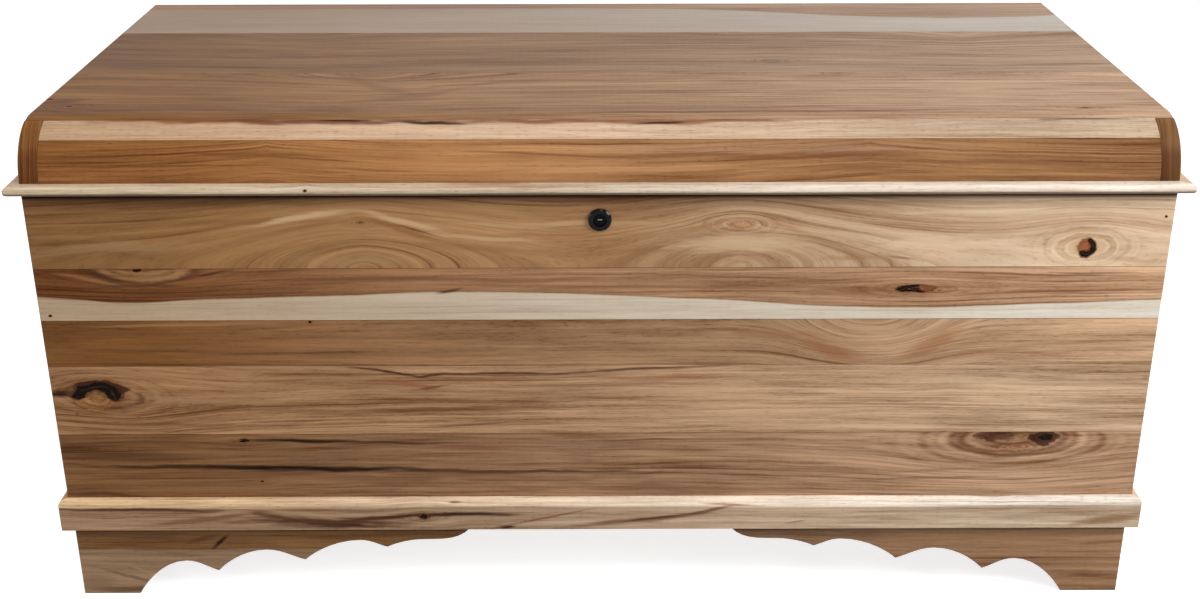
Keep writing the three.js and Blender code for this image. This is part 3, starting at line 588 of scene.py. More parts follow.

# The front boards run darker to the left and paler to the right, partly their own tone and partly painted
# light and sheen from the right.
frontBoards = {
    "front_board_5": dict(
        low=(134, 95, 56), middle=(157, 118, 80), high=(201, 174, 145), seed=1.3, pith=(377, 57), wave=3.0,
        figures=[(-233, 150), (138, 120, 0.82)], gap=8.5, lines=0.6, bands=0.42, streaks=0.32, fibres=0.3,
        # Its edges paint the shade under the lid moulding: a dark line and a broad fainter band.
        blunt=1.7, edges=[(454, 5, 1.0), (455, 17, 0.22)], calm=(150, 360, 0.75),
        knots=[
            knotAt(477, 399, 9, 9.6, flow=(6.6, 3.1), hook=(-30, -0.6), heart=0.0, bud=(138, 72, 24),
                budMix=0.9, rim=0.2, rings=0.3, point=0.1, ragged=0.22),
            knotAt(551, 431, 1.8, 1.6, flow=(4, 3), heart=0.7, rings=0.1),
            knotAt(138, 424, 13, 6, flow=(4, 2.6), heart=0.0, rim=0.1, bud=(178, 124, 86), budMix=0.55,
                rings=0.25, budRings=0.3, ragged=0.5),
            knotAt(-233, 427, 5, 2.2, flow=(4, 4), heart=0.3, rim=0.2, bud=(140, 92, 58), core=(92, 58, 36),
                rings=0.1),
        ],
        stains=[
            # The first stain, dark along the top left just under the lid moulding, is painted shade.
            (-420, 449, 200, 6, 0, 100, 68, 40, 0.5), (-360, 428, 130, 5, 0.02, 122, 84, 50, 0.4),
            (-236, 387, 80, 11, 0, 172, 136, 98, 0.4), (-470, 402, 130, 8, 0.05, 168, 134, 94, 0.45),
            (-290, 431, 66, 4.4, 0.17, 206, 172, 132, 0.8),
            (-192, 428, 56, 4.6, -0.27, 204, 168, 128, 0.75),
            (-115, 411, 70, 3.4, -0.08, 200, 166, 126, 0.6), (-290, 423, 60, 4, 0.2, 140, 98, 60, 0.55),
            (-196, 420, 52, 5, -0.3, 134, 88, 50, 0.65), (-178, 419, 26, 1.6, -0.3, 84, 50, 30, 0.75),
            (-120, 400, 90, 5, -0.08, 142, 98, 58, 0.5), (-30, 424, 150, 4, 0, 196, 160, 118, 0.45),
            (-40, 413, 110, 3.4, 0, 146, 102, 62, 0.5), (20, 395, 90, 4, 0.03, 146, 104, 64, 0.45),
            (140, 400, 84, 13, 0, 206, 176, 140, 0.65), (60, 437, 70, 3, 0.06, 150, 112, 78, 0.5),
            (96, 420, 44, 4, 0.35, 160, 118, 80, 0.5), (184, 420, 46, 4, -0.35, 160, 118, 80, 0.5),
            (250, 388, 45, 4, 0, 140, 98, 62, 0.5), (296, 389, 20, 2, -0.1, 96, 60, 36, 0.7),
            (340, 404, 100, 8, 0.04, 222, 198, 166, 0.5), (380, 436, 130, 3, 0, 214, 186, 150, 0.5),
            (330, 446, 200, 4, 0, 150, 116, 84, 0.5), (430, 424, 90, 3, 0.1, 178, 144, 108, 0.55),
            (520, 386, 36, 4, -0.1, 150, 116, 84, 0.5), (478, 399, 30, 19, 0, 178, 138, 96, 0.55),
        ],
    ),
    "front_board_4": dict(
        low=(120, 74, 35), high=(174, 138, 107), seed=5.1, pith=(300, 30), wave=2.2, gap=5.5, lines=0.6,
        bands=0.4, streaks=0.4, edges=[(379, 0.9, 0.5)],
        sap=dict(
            edge=[(-600, 352.5), (-515, 346.4), (-468, 342.8), (-407, 345.9), (-238, 350.8), (-151, 353.6),
                (99, 345.6), (293, 335.8), (434, 339.2), (600, 345)],
            base=320, span=60, low=(185, 161, 133), high=(209, 200, 185), line=0.28, ragged=0.8, soft=0.7),
        knots=[
            knotAt(-450, 380, 56, 17, flow=(2.4, 1.7), heart=0.0, rim=0.7, bud=(160, 120, 80), budMix=0.75,
                rings=0.1, point=1.2, ragged=0.16),
            knotPart(-452, 380, 34, 4.2, heart=0.0, rim=0.0, bud=(112, 66, 36), budMix=0.85, ragged=0.3),
            knotPart(-456, 377.6, 6, 3, heart=0.8, rim=0.0),
            knotAt(314, 356, 18, 4.0, flow=(4.5, 3.6), hook=(180, -0.5), heart=0.3, rim=0.8,
                bud=(146, 84, 44), budMix=0.85, rings=0.1, ragged=0.6, point=0.1),
            knotAt(-548, 328.5, 2.2, 1.6, flow=(2, 2), heart=0.8, rings=0.05),
        ],
        stains=[
            (-492, 371, 30, 9, -0.45, 70, 42, 26, 0.7), (-500, 366, 50, 3, -0.22, 170, 128, 90, 0.35),
            (-455, 360, 60, 2.6, 0.02, 84, 50, 30, 0.7), (-395, 371, 48, 2.4, 0.2, 66, 36, 22, 0.85),
            (-330, 376, 60, 1.8, 0.04, 88, 50, 30, 0.6), (-430, 352, 160, 2.2, -0.02, 92, 56, 34, 0.45),
            (-412, 368, 26, 4, 0, 140, 82, 54, 0.5), (-250, 368, 140, 2.6, 0.02, 104, 62, 36, 0.5),
            (-120, 366, 240, 3, 0, 104, 66, 42, 0.4), (-150, 355, 18, 2.4, 0.2, 70, 40, 26, 0.8),
            (60, 358, 200, 2, -0.01, 108, 70, 46, 0.45), (430, 371, 120, 2.2, -0.03, 104, 64, 44, 0.6),
            (470, 351, 70, 2, 0, 118, 78, 54, 0.5), (150, 368, 150, 1.6, -0.04, 112, 70, 46, 0.5),
            (490, 372, 60, 1.6, 0, 86, 52, 34, 0.6),
        ],
    ),
    "front_board_3": dict(
        low=(112, 71, 33), high=(167, 134, 103), seed=8.7, pith=(338, 44), wave=3.0, blunt=2.4,
        figures=[(272, 74)], gap=6.5, lines=0.55, bands=0.45, streaks=0.4, edges=[(323.1, 1.0, 0.5)],
        knots=[knotAt(-290, 321, 4, 3, flow=(5, 3), heart=0.45, rings=0.15)],
        stains=[
            (232, 292, 40, 13, -0.4, 140, 92, 56, 0.65), (334, 296, 38, 14, 0.5, 144, 96, 60, 0.6),
            (282, 312, 44, 8, 0, 188, 154, 116, 0.5), (180, 306, 70, 6, -0.08, 140, 94, 60, 0.4),
            (-420, 318, 110, 2.4, 0.02, 166, 126, 82, 0.55), (-300, 314, 60, 2, 0.06, 160, 120, 78, 0.5),
            (-180, 284, 160, 3, 0, 140, 98, 58, 0.4), (470, 296, 80, 3, 0.06, 134, 98, 68, 0.45),
            (-470, 290, 90, 4, 0, 92, 58, 30, 0.4),
        ],
    ),
    "front_board_2": dict(
        low=(155, 114, 77), high=(168, 138, 110), seed=12.4, pith=(-300, 60), wave=4.6, gap=7.0, lines=0.6,
        bands=0.4, streaks=0.5,
        knots=[
            knotAt(-503, 240, 38, 15, flow=(2.6, 2.4), heart=0.0, tilt=-0.08, bud=(152, 110, 74),
                budMix=0.75, rim=0.7, rings=0.2, point=1.1, ragged=0.2),
            knotPart(-506, 249, 28, 7.5, heart=0.0, rim=0.0, tilt=-0.12, bud=(66, 32, 14), budMix=0.95,
                point=1.2, ragged=0.2),
            knotPart(-513, 237, 25, 17, hook=(84, -0.38), heart=0.0, bud=(164, 116, 72), budMix=0.8,
                rim=0.2, point=0.0, ragged=0.24, budRings=0.4),
            knotPart(-511, 237, 5, 4.5, heart=0.0, rim=0.5, bud=(150, 110, 52), budMix=0.8, point=0.0),
        ],
        stains=[
            (-549, 241, 22, 5.5, 0, 52, 27, 14, 0.98), (-497, 228, 20, 5, -0.3, 110, 64, 38, 0.7),
            (-497, 237, 8, 6, -0.8, 34, 18, 12, 0.85), (-214, 265, 52, 2.4, -0.18, 74, 40, 24, 0.95),
            (-171, 261, 26, 2.2, 0.17, 74, 40, 24, 0.9), (-95, 263, 110, 2.2, 0, 78, 44, 27, 0.9),
            (45, 268, 130, 2.2, 0.055, 84, 50, 30, 0.85), (-192, 251, 42, 5, -0.15, 142, 84, 56, 0.65),
            (-172, 247, 22, 2, 0.2, 90, 52, 34, 0.7), (-110, 256, 90, 3, 0, 134, 88, 60, 0.55),
            (-20, 250, 160, 2.4, 0.01, 128, 84, 58, 0.45), (60, 259, 80, 5, 0.04, 140, 88, 60, 0.5),
            (330, 227, 200, 1.6, -0.02, 120, 82, 56, 0.45), (-440, 262, 90, 3, 0, 170, 134, 98, 0.4),
            (-400, 232, 110, 4, -0.04, 172, 138, 104, 0.45), (-420, 206, 130, 3, -0.02, 108, 74, 48, 0.5),
            (-330, 222, 90, 2, 0, 120, 82, 54, 0.5), (420, 252, 170, 2.4, -0.03, 190, 160, 128, 0.5),
            (200, 236, 200, 2.2, 0.02, 184, 152, 118, 0.4), (-130, 205, 60, 2, 0.05, 96, 60, 38, 0.6),
            (-536, 218, 3, 2, 0, 90, 54, 36, 0.7),
        ],
    ),
    "front_board_1": dict(
        low=(115, 78, 45), high=(163, 129, 101), seed=17.9, pith=(-400, 60), wave=4.0, gap=7.5, lines=0.55,
        bands=0.45, streaks=0.6, edges=[(195, 0.9, 0.4)],
        knots=[
            knotAt(424, 187, 56, 21, flow=(2.4, 2.0), heart=0.0, rim=0.3, bud=(142, 104, 76), budMix=0.55,
                rings=0.5, budRings=0.3, point=0.5, ragged=0.18),
            knotPart(408, 190, 24, 6.5, heart=0.0, rim=0.2, bud=(82, 52, 34), budMix=0.85, ragged=0.5,
                budRings=0.5),
            knotPart(459, 188, 15, 9, heart=0.5, rim=0.2, bud=(62, 36, 24), budMix=0.92, ragged=0.6),
            knotPart(430, 177, 22, 5, heart=0.0, rim=0.4, bud=(160, 118, 88), budMix=0.7, ragged=0.4,
                budRings=0.5),
            knotAt(-367, 187, 7, 3, flow=(5, 3), heart=0.85, rings=0.05, ragged=0.5),
            knotAt(-353, 139, 4, 2.4, flow=(5, 3), heart=0.4, rings=0.1),
        ],
        stains=[
            (-305, 186, 90, 3.2, -0.02, 38, 20, 11, 0.97), (-210, 184, 80, 2.4, -0.01, 70, 42, 26, 0.8),
            (-330, 154.5, 300, 4.2, -0.018, 52, 29, 15, 0.95),
            (-310, 154, 120, 3.6, -0.03, 24, 12, 6, 0.95), (-90, 150, 230, 3, -0.004, 70, 42, 26, 0.85),
            (-180, 143, 330, 9, -0.01, 104, 68, 44, 0.5), (40, 187, 90, 1.8, 0.02, 92, 56, 36, 0.7),
            (-130, 178, 60, 4, -0.05, 128, 76, 50, 0.6), (-480, 170, 90, 8, 0, 92, 60, 38, 0.6),
            (-500, 184, 90, 3, 0, 96, 64, 42, 0.5), (340, 150, 230, 2.4, 0.05, 130, 92, 66, 0.5),
            (60, 130, 200, 7, -0.02, 120, 82, 56, 0.5), (340, 141, 80, 2.4, 0.03, 104, 68, 48, 0.6),
            (200, 150, 160, 5, 0, 124, 88, 64, 0.4), (-525, 123, 60, 3.4, 0, 74, 44, 26, 0.7),
            (-420, 140, 180, 1.8, 0.02, 146, 108, 74, 0.5), (-400, 131, 160, 1.6, 0.01, 144, 106, 72, 0.5),
            (-400, 172, 100, 2, -0.02, 138, 100, 68, 0.4),
        ],
    ),
}
backBoards = {
    f"back_board_{i + 1}": dict(
        lie="back", low=low, high=high, seed=31.0 + 4.3 * i, pith=pith, figures=figures, wave=4.0,
        knots=knots)
    for i, (low, high, pith, figures, knots) in enumerate([
        ((150, 114, 80), (160, 124, 92), (60, 52), [(180, 140)], [knotAt(-260, 170, 7, 6)]),
        ((168, 134, 102), (156, 120, 86), (300, 60), [(-200, 160), (260, 150)], []),
        ((146, 108, 76), (164, 128, 96), (-200, 60), [], [knotAt(320, 400, 9, 7)]),
    ])
}
endBoards = {
    f"{side}_board_{i + 1}": dict(
        lie=side, low=low, high=high, seed=start + 3.9 * i, pith=pith, figures=figures, wave=3.4,
        knots=knots)
    for side, start in (("left", 51.0), ("right", 75.0))
    for i, (low, high, pith, figures, knots) in enumerate([
        ((140, 103, 72), (152, 115, 84), (-300, 60), [], []),
        ((166, 131, 98), (172, 138, 106), (215, 48), [(40, 90)], []),
        ((148, 108, 74), (158, 118, 84), (700, 60), [], [knotAt(-120, 312, 8, 7)]),
        ((176, 144, 112), (168, 134, 102), (352, 50), [(-60, 110)], []),
    ])
}

for name, wood in {**frontBoards, **backBoards, **endBoards}.items():
    form = copyOf(name)
    roundUprights(form, (-caseSide, caseFront), (caseSide, caseBack), caseFinish["cornerRadius"])
    finishWood(form, name, wood)
print("case walls done")


# Base: moulding, brackets, skirts and corner blocks

baseFinish = {
    "cornerRadius": 1.2 * mm, "edgeWidth": 1.1 * mm, "topMargin": 1 * mm, "longestStep": 40 * mm,
    "blockEdge": 0.8 * mm,
}
farBehind = 9.0  # the mouldings stop at the back, where no corner is rounded

# Under paints shade on the mouldings' faces that look down.
mouldings = {
    "base_moulding_front": dict(
        low=(207, 171, 131), high=(214, 202, 188), seed=91.0, pith=(-200, 60), wave=3.0, gap=6.0, lines=0.4,
        bands=0.35, streaks=0.45, under=0.7,
        # The pale wood above this edge, along the rounded top, is partly paler wood and partly a painted
        # highlight.
        sap=dict(
            edge=[(-600, 112.5), (-300, 111), (-100, 113), (200, 111.5), (600, 113)],
            base=90, span=40, low=(158, 124, 94), high=(174, 153, 129), ragged=0.6, soft=1.4, calm=1.0),
        knots=[knotAt(-185, 101, 6, 4.5, flow=(6, 3), heart=0.7, rim=0.7, bud=(110, 72, 50), rings=0.1)],
        stains=[
            (-490, 110, 140, 3, -0.014, 70, 38, 22, 0.9), (-350, 108.5, 80, 2.2, 0, 96, 58, 36, 0.6),
            (-415, 98, 70, 4.6, 0.16, 112, 72, 48, 0.7), (-345, 102, 42, 4, -0.2, 88, 50, 30, 0.8),
            (-390, 105, 40, 3.4, 0.1, 196, 164, 128, 0.5), (-320, 106, 60, 3.2, -0.1, 190, 156, 120, 0.45),
            (-290, 94, 130, 6, -0.02, 80, 42, 24, 0.95), (-285, 90, 90, 3.4, 0, 50, 26, 14, 0.85),
            (-225, 100, 70, 3.6, 0.05, 70, 36, 20, 0.95), (-150, 103, 90, 3.6, 0.02, 60, 30, 16, 0.95),
            (-260, 103, 60, 2, 0, 184, 150, 114, 0.4), (-380, 90, 120, 3, 0, 150, 122, 96, 0.5),
            (-98, 87.4, 12, 2.6, 0, 34, 20, 14, 0.97), (-70, 96, 80, 1.8, 0.22, 124, 64, 44, 0.8),
            (-20, 92, 100, 4, 0, 206, 178, 142, 0.5), (40, 97, 110, 4.4, 0.12, 112, 70, 48, 0.85),
            (60, 99, 60, 2, 0.14, 72, 42, 30, 0.8), (112, 107, 40, 3.2, 0.22, 108, 66, 46, 0.85),
            (140, 115, 40, 2, -0.05, 170, 106, 70, 0.7), (205, 93, 14, 1.4, 0.2, 120, 80, 60, 0.7),
            (534, 95, 52, 7, 0.16, 128, 94, 64, 0.85), (-520, 95, 70, 5, 0, 168, 138, 108, 0.5),
            (-152, 118, 10, 1.2, 0, 90, 54, 36, 0.8),
        ],
    ),
    "base_moulding_left": dict(
        lie="left", low=(176, 142, 108), high=(160, 126, 94), seed=95.0, streaks=0.5, under=0.7,
    ),
    "base_moulding_right": dict(
        lie="right", low=(186, 158, 126), high=(176, 146, 112), seed=99.0, streaks=0.5, under=0.7,
    ),
}
# Under paints shade on the faces of the brackets and skirts that look down.
brackets = {
    "front_left_bracket": dict(
        low=(126, 88, 51), high=(133, 94, 57), seed=103.0, pith=(-120, 60), wave=3.0, lines=0.35,
        # Its edges paint the shade under the base moulding: a dark line and a fainter band.
        bands=0.35, streaks=0.45, under=0.85, edges=[(80.5, 5, 0.95), (82, 15, 0.25)],
        sap=dict(
            edge=[(-600, 56), (600, 56)],
            base=40, span=40, low=(145, 116, 88), high=(145, 116, 88), ragged=0.0, soft=0.15, calm=0.8,
            line=0.25),
        stains=[
            (-405, 65.5, 12, 4.6, 0.95, 36, 18, 10, 0.95), (-424, 68, 26, 4, 0.3, 84, 50, 30, 0.6),
            (-500, 20, 60, 3, -0.3, 112, 82, 58, 0.7), (-478, 24, 40, 2, -0.4, 176, 144, 110, 0.5),
            (-500, 5, 60, 5, 0, 92, 62, 36, 0.8), (-480, 66, 40, 8, 0.2, 110, 72, 40, 0.5),
            (-540, 22, 26, 12, 0, 128, 96, 68, 0.5), (-330, 66, 40, 7, 0, 150, 112, 76, 0.4),
        ],
    ),
    "front_right_bracket": dict(
        low=(121, 91, 68), high=(133, 100, 72), seed=107.0, pith=(-60, 60), wave=3.5, lines=0.45,
        # Its edges paint the shade under the base moulding: a dark line and a fainter band.
        bands=0.45, streaks=0.5, under=0.85, edges=[(80.5, 5, 0.95), (82, 15, 0.25)],
        stains=[
            (526, 19, 44, 3.4, 0, 92, 56, 38, 0.8), (330, 82, 60, 2, 0, 120, 86, 62, 0.4),
            (460, 70, 90, 5, 0.05, 146, 114, 84, 0.5), (500, 40, 70, 8, 0, 126, 88, 60, 0.4),
            (540, 60, 40, 3, 0.1, 104, 70, 48, 0.5),
        ],
    ),
    "left_skirt": dict(lie="left", low=(146, 112, 80), high=(156, 122, 90), seed=111.0, under=0.85),
    "right_skirt": dict(lie="right", low=(150, 118, 86), high=(158, 126, 94), seed=115.0, under=0.85),
    "back_skirt": dict(lie="back", low=(148, 114, 82), high=(156, 122, 90), seed=119.0, under=0.85),
}

baseLow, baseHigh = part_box("base_moulding_front")[0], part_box("base_moulding_right")[1]
for name, wood in mouldings.items():
    form = copyOf(name)
    roundUprights(form, baseLow, (baseHigh.x, farBehind), baseFinish["cornerRadius"])
    finishWood(form, name, wood)

skirtLow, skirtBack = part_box("front_left_bracket")[0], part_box("back_skirt")[1].y
for name, wood in brackets.items():
    form = copyOf(name)
    roundUprights(form, skirtLow, (-skirtLow.x, skirtBack), baseFinish["cornerRadius"])
    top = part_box(name)[1].z

    def scallopEdge(edge):
        levels = [corner.co.z for corner in edge.verts]
        below = max(levels) < top - baseFinish["topMargin"]
        flat = abs(levels[0] - levels[1]) < baseFinish["longestStep"]
        return below and flat and sharperThan(math.radians(60))(edge)
    easeEdges(form, scallopEdge, baseFinish["edgeWidth"], 2)
    finishWood(form, name, wood)

blockWood = woodMaterial("cornerBlockWood", dict(
    lie="upright", low=(188, 160, 126), high=(188, 160, 126), seed=130.0, streaks=0.6, coat=0.05))
for name in [node for node in nodes if node.startswith("corner_block")]:
    form = copyOf(name)
    easeEdges(form, lambda edge: True, baseFinish["blockEdge"], 2)
    finish(form, name + "_wood", name, blockWood, replaced=[name])
print("base done")


# Floor: planks lying side by side in the grooves of the walls

floorBoards = {"count": 7, "vGroove": 1.2 * mm}

floorLow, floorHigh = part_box("floor_panel")
floorSize, floorMiddle = floorHigh - floorLow, (floorHigh + floorLow) / 2
plankDeep = floorSize.y / floorBoards["count"]
for index in range(floorBoards["count"]):
    form = bmesh.new()
    bmesh.ops.create_cube(form, size=1.0)
    bmesh.ops.scale(form, verts=form.verts, vec=(floorSize.x, plankDeep, floorSize.z))
    bmesh.ops.translate(
        form, verts=form.verts, vec=(0, floorLow.y + plankDeep * (index + 0.5), floorMiddle.z))
    easeEdges(form, edgeAt(2, floorHigh.z), floorBoards["vGroove"], 2)
    plank = woodMaterial(f"floorPlank{index + 1}", dict(
        lie="top", low=(196, 166, 130), high=(190, 158, 122), seed=140.0 + 5.1 * index,
        pith=(-150 + 110 * index, 46), figures=[(-300 + 90 * index, 120)], gap=6.0, lines=0.4, coat=0.1,
        roughness=0.5, knots=[knotAt(420 - 130 * index, 45 + 73 * index, 7, 5)] if index % 2 else []))
    finish(form, f"floor_plank_{index + 1}", "floor_panel", plank, replaced=["floor_panel"])
print("floor done")


# Lid: a rounded front board, a pale corner strip, three top boards, two ends, a back rail and mouldings

lidFinish = {
    "endRadius": 2.2 * mm, "endBoardRadius": 1.0 * mm, "mouldingRadius": 1.2 * mm, "upperZone": 6 * mm,
    "steepest": 0.7,
}
lidTopFinish = {"lie": "top", "coat": 0.03, "gloss": 0.03}

lidWoods = {
    "lid_front_board": dict(
        low=(138, 90, 47), middle=(154, 110, 72), high=(127, 89, 56), seed=201.0, pith=(440, 30), wave=4.5,
        figures=[(-320, 120), (260, 160)], gap=6.0, lines=0.8, bands=0.5, streaks=0.45,
        stains=[
            (-420, 484, 120, 1.6, 0.01, 104, 60, 30, 0.7), (-500, 492, 80, 4, 0, 112, 66, 32, 0.55),
            (-330, 494, 110, 2.4, -0.02, 112, 66, 34, 0.55), (-250, 476, 200, 2, 0.02, 176, 128, 80, 0.5),
            (-150, 488, 150, 3, 0.03, 172, 122, 74, 0.5), (-60, 494, 120, 1.6, -0.04, 110, 66, 36, 0.6),
            (40, 480, 150, 4, 0, 186, 140, 94, 0.5), (120, 492, 160, 3, -0.01, 112, 68, 38, 0.6),
            (250, 494, 90, 4, 0, 104, 64, 38, 0.6), (240, 482, 80, 3, 0.05, 118, 76, 48, 0.5),
            (420, 486, 130, 3, 0, 104, 66, 42, 0.5), (380, 474, 180, 2, 0.01, 166, 124, 86, 0.5),
        ],
    ),
    "lid_corner_strip": dict(
        low=(182, 148, 116), middle=(200, 169, 142), high=(178, 154, 130), seed=207.0, pith=(300, 60),
        wave=2.0, gap=5.0, lines=0.2, bands=0.2, streaks=0.25,
        stains=[
            (-380, 520, 200, 3, 0, 136, 80, 42, 0.9), (-260, 518.5, 190, 2.2, -0.003, 106, 54, 26, 0.85),
            (-160, 517.6, 46, 1.3, -0.01, 40, 16, 7, 0.95), (-246, 518.6, 36, 1, 0, 48, 20, 9, 0.9),
            (-60, 518.6, 130, 2, 0.004, 122, 66, 34, 0.85), (60, 518, 100, 2.4, -0.004, 130, 76, 42, 0.85),
            (58, 517, 40, 1.1, 0.02, 54, 24, 12, 0.9), (140, 519, 70, 1.6, 0, 118, 66, 36, 0.8),
            (240, 519.5, 120, 1.8, 0, 132, 88, 60, 0.6), (470, 519, 70, 1.6, 0, 84, 50, 34, 0.8),
        ],
    ),
    # The top boards run darker to the left and paler to the right, partly their own tone and partly painted
    # light from the right.
    "lid_top_board_front": dict(
        **lidTopFinish, low=(122, 82, 43), high=(163, 130, 101), seed=213.0, pith=(205, 52), wave=4.0,
        figures=[(-245, 150)], gap=8.0, lines=0.7, bands=0.4, streaks=0.45,
        knots=[
            knotAt(-554, 102, 9, 7, rings=0.3),
            knotAt(-527, 77, 7, 6),
            knotAt(479, 64, 8, 3, heart=0.5, budMix=0.4),
        ],
        stains=[
            (-545, 84, 34, 20, 0.1, 112, 64, 34, 0.6), (-540, 92, 34, 13, 0.3, 90, 52, 30, 0.7),
            (-510, 60, 60, 5, -0.2, 122, 76, 44, 0.6), (-440, 52, 100, 5, 0, 134, 86, 50, 0.5),
            (330, 100, 90, 3, 0, 130, 96, 70, 0.4), (-275, 179, 70, 6, -0.2, 90, 58, 38, 0.6),
            (-225, 140, 60, 16, -0.7, 104, 70, 46, 0.4), (-185, 116, 60, 14, 0.5, 106, 70, 46, 0.45),
            (-120, 156, 90, 7, 0.25, 104, 68, 46, 0.5), (-30, 168, 130, 5, 0.02, 112, 76, 52, 0.45),
            (-210, 96, 100, 6, 0.12, 112, 74, 48, 0.45), (-60, 66, 200, 3, 0.03, 122, 82, 56, 0.45),
            (100, 130, 200, 4, 0, 132, 98, 72, 0.35),
        ],
    ),
    "lid_top_board_middle": dict(
        **lidTopFinish, low=(115, 79, 47), high=(149, 119, 94), seed=219.0, pith=(400, 56), wave=4.0,
        figures=[(420, 110), (-330, 150)], gap=8.0, lines=0.6, bands=0.42, streaks=0.4,
        knots=[knotAt(188, 249, 11, 6, bud=(126, 104, 88), budMix=0.7, heart=0.0, rim=0.2, flow=(4, 3))],
    ),
    "lid_top_board_back": dict(
        **lidTopFinish, low=(142, 110, 84), high=(150, 120, 96), seed=225.0, pith=(-300, 60), wave=2.5,
        gap=6.0, lines=0.3, bands=0.3, streaks=0.35,
        sap=dict(
            edge=[(-600, 500), (-200, 505), (100, 500), (350, 455), (450, 450), (600, 480)],
            base=380, span=160, low=(155, 130, 110), high=(176, 164, 152), ragged=3.0, soft=3.0),
    ),
    "lid_back_rail": dict(lie="back", low=(160, 124, 90), high=(168, 132, 98), seed=231.0),
    "lid_end_left": dict(
        lie="left", low=(134, 91, 47), high=(127, 80, 38), seed=237.0, pith=(486, 130), gap=3.4, wave=5.0,
        figures=[(-90, 220, 0.1)], streaks=0.7,
    ),
    "lid_end_right": dict(
        lie="right", low=(100, 68, 40), high=(106, 71, 42), seed=246.3, pith=(486, 130), gap=3.4, wave=5.0,
        figures=[(80, 220, 0.1)], streaks=0.7,
    ),
}
# Under paints shade on the lid mouldings' faces that look down.
lidMouldings = {
    "lid_moulding_front": dict(
        low=(201, 178, 150), high=(208, 193, 177), seed=251.0, pith=(300, 60), wave=2.0, under=0.8, gap=5.0,
        lines=0.25, bands=0.25, streaks=0.35,
        knots=[knotAt(-282, 464, 2.4, 1.6, heart=0.7)],
        stains=[
            (-120, 467, 140, 1.2, 0, 170, 120, 88, 0.5), (420, 462, 120, 1.5, 0, 206, 160, 120, 0.5),
        ],
    ),
    "lid_moulding_left": dict(
        lie="left", low=(190, 160, 128), high=(196, 168, 138), seed=257.0, streaks=0.4, under=0.8,
    ),
    "lid_moulding_right": dict(
        lie="right", low=(198, 172, 142), high=(204, 180, 152), seed=263.0, streaks=0.4, under=0.8,
    ),
}


def endEdge(edge):  # along the top's two ends and its back
    levels = [corner.co.z for corner in edge.verts]
    atRim = any(edgeAt(*rim)(edge) for rim in ((0, -caseSide), (0, caseSide), (1, caseBack)))
    upper = min(levels) > lidTop - lidFinish["upperZone"]
    slant = (edge.verts[0].co - edge.verts[1].co).normalized().z
    return upper and atRim and abs(slant) < lidFinish["steepest"] and sharperThan(1.0)(edge)


for name, wood in lidWoods.items():
    form = copyOf(name)
    if name.startswith("lid_top"):
        easeEdges(form, endEdge, lidFinish["endRadius"], 4)
    if name.startswith("lid_end"):
        side = caseSide if name.endswith("right") else -caseSide
        easeEdges(form, edgeAt(0, side), lidFinish["endBoardRadius"], 3)
    finishWood(form, name, wood)

rimLow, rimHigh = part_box("lid_moulding_front")
for name, wood in lidMouldings.items():
    form = copyOf(name)
    roundUprights(form, rimLow, (rimHigh.x, farBehind), lidFinish["mouldingRadius"])
    finishWood(form, name, wood)
print("lid done")


# Metal finishes: a brushed or cast look with small scuffs, worn paler in cloudy patches

metalFinish = {"bumpStrength": 0.3, "bumpDepth": 0.05 * mm}


def makeMetalWear():
    given, result = newGroup(
        "metalWear", ["Place", "Color", "Worn", "Roughness", "Speckle"], ["Color", "Roughness", "Relief"])
    x, y, z = split(given["Place"])
    brushed = swing(vector(x * 150.0, y * 2500.0, z * 2500.0), 2.0)
    clouds = swing(vector(x * 90.0, y * 90.0, z * 90.0), 3.0)
    spots = remap(noise(given["Place"], 3.0, 0.6, 900.0), 0.6, 0.72)
    worn = remap(clouds + spots * given["Speckle"], 0.1, 0.8)
    feed(result, {
        "Color": blend(worn, given["Color"], given["Worn"]),
        "Roughness": brushed * 0.06 + given["Roughness"] + worn * 0.1,
        "Relief": brushed * 0.5 - spots * 0.5,
    })


makeMetalWear()


def metalMaterial(name, tint, worn, roughness, metallic=1.0, speckle=0.3, gloss=0.5):
    material, shader = newMaterial(name)
    made = useGroup("metalWear", {
        "Place": addNode("TexCoord")["Object"], "Color": colour(tint), "Worn": colour(worn),
        "Roughness": roughness, "Speckle": speckle,
    })
    feed(shader, {
        "Base Color": made["Color"], "Roughness": made["Roughness"], "Metallic": metallic,
        "Specular IOR Level": gloss,
        "Normal": bumped(made["Relief"], metalFinish["bumpStrength"], metalFinish["bumpDepth"]),
    })
    return material


brass = metalMaterial("hingeBrass", (196, 152, 84), (214, 178, 112), 0.3)
steel = metalMaterial("staySteel", (176, 174, 168), (196, 194, 188), 0.32)
lockBlack = metalMaterial("lockBlack", (3, 3, 4), (7, 7, 7), 0.08, metallic=0.0, speckle=0.4, gloss=0.12)
plugBlack = metalMaterial("lockPlug", (4, 4, 4), (9, 9, 9), 0.2, metallic=0.0, speckle=0.4, gloss=0.05)
slotSteel = metalMaterial("keySlotSteel", (120, 118, 114), (176, 173, 166), 0.3)


# Screws: a low domed head with a cross recess, made once and placed with a matrix. Shares are of the
# head's radius, or for the crown of its height.

screw = {
    "sides": 24, "topShare": 0.86, "domeShare": 0.2, "crownShare": 0.12, "flatShare": 0.1,
    "recessShare": 0.56, "waistShare": 0.17, "armHalfTurn": math.radians(10), "recessTaper": 0.8,
    "firstTurn": 0.5, "nextTurn": 0.9,
}


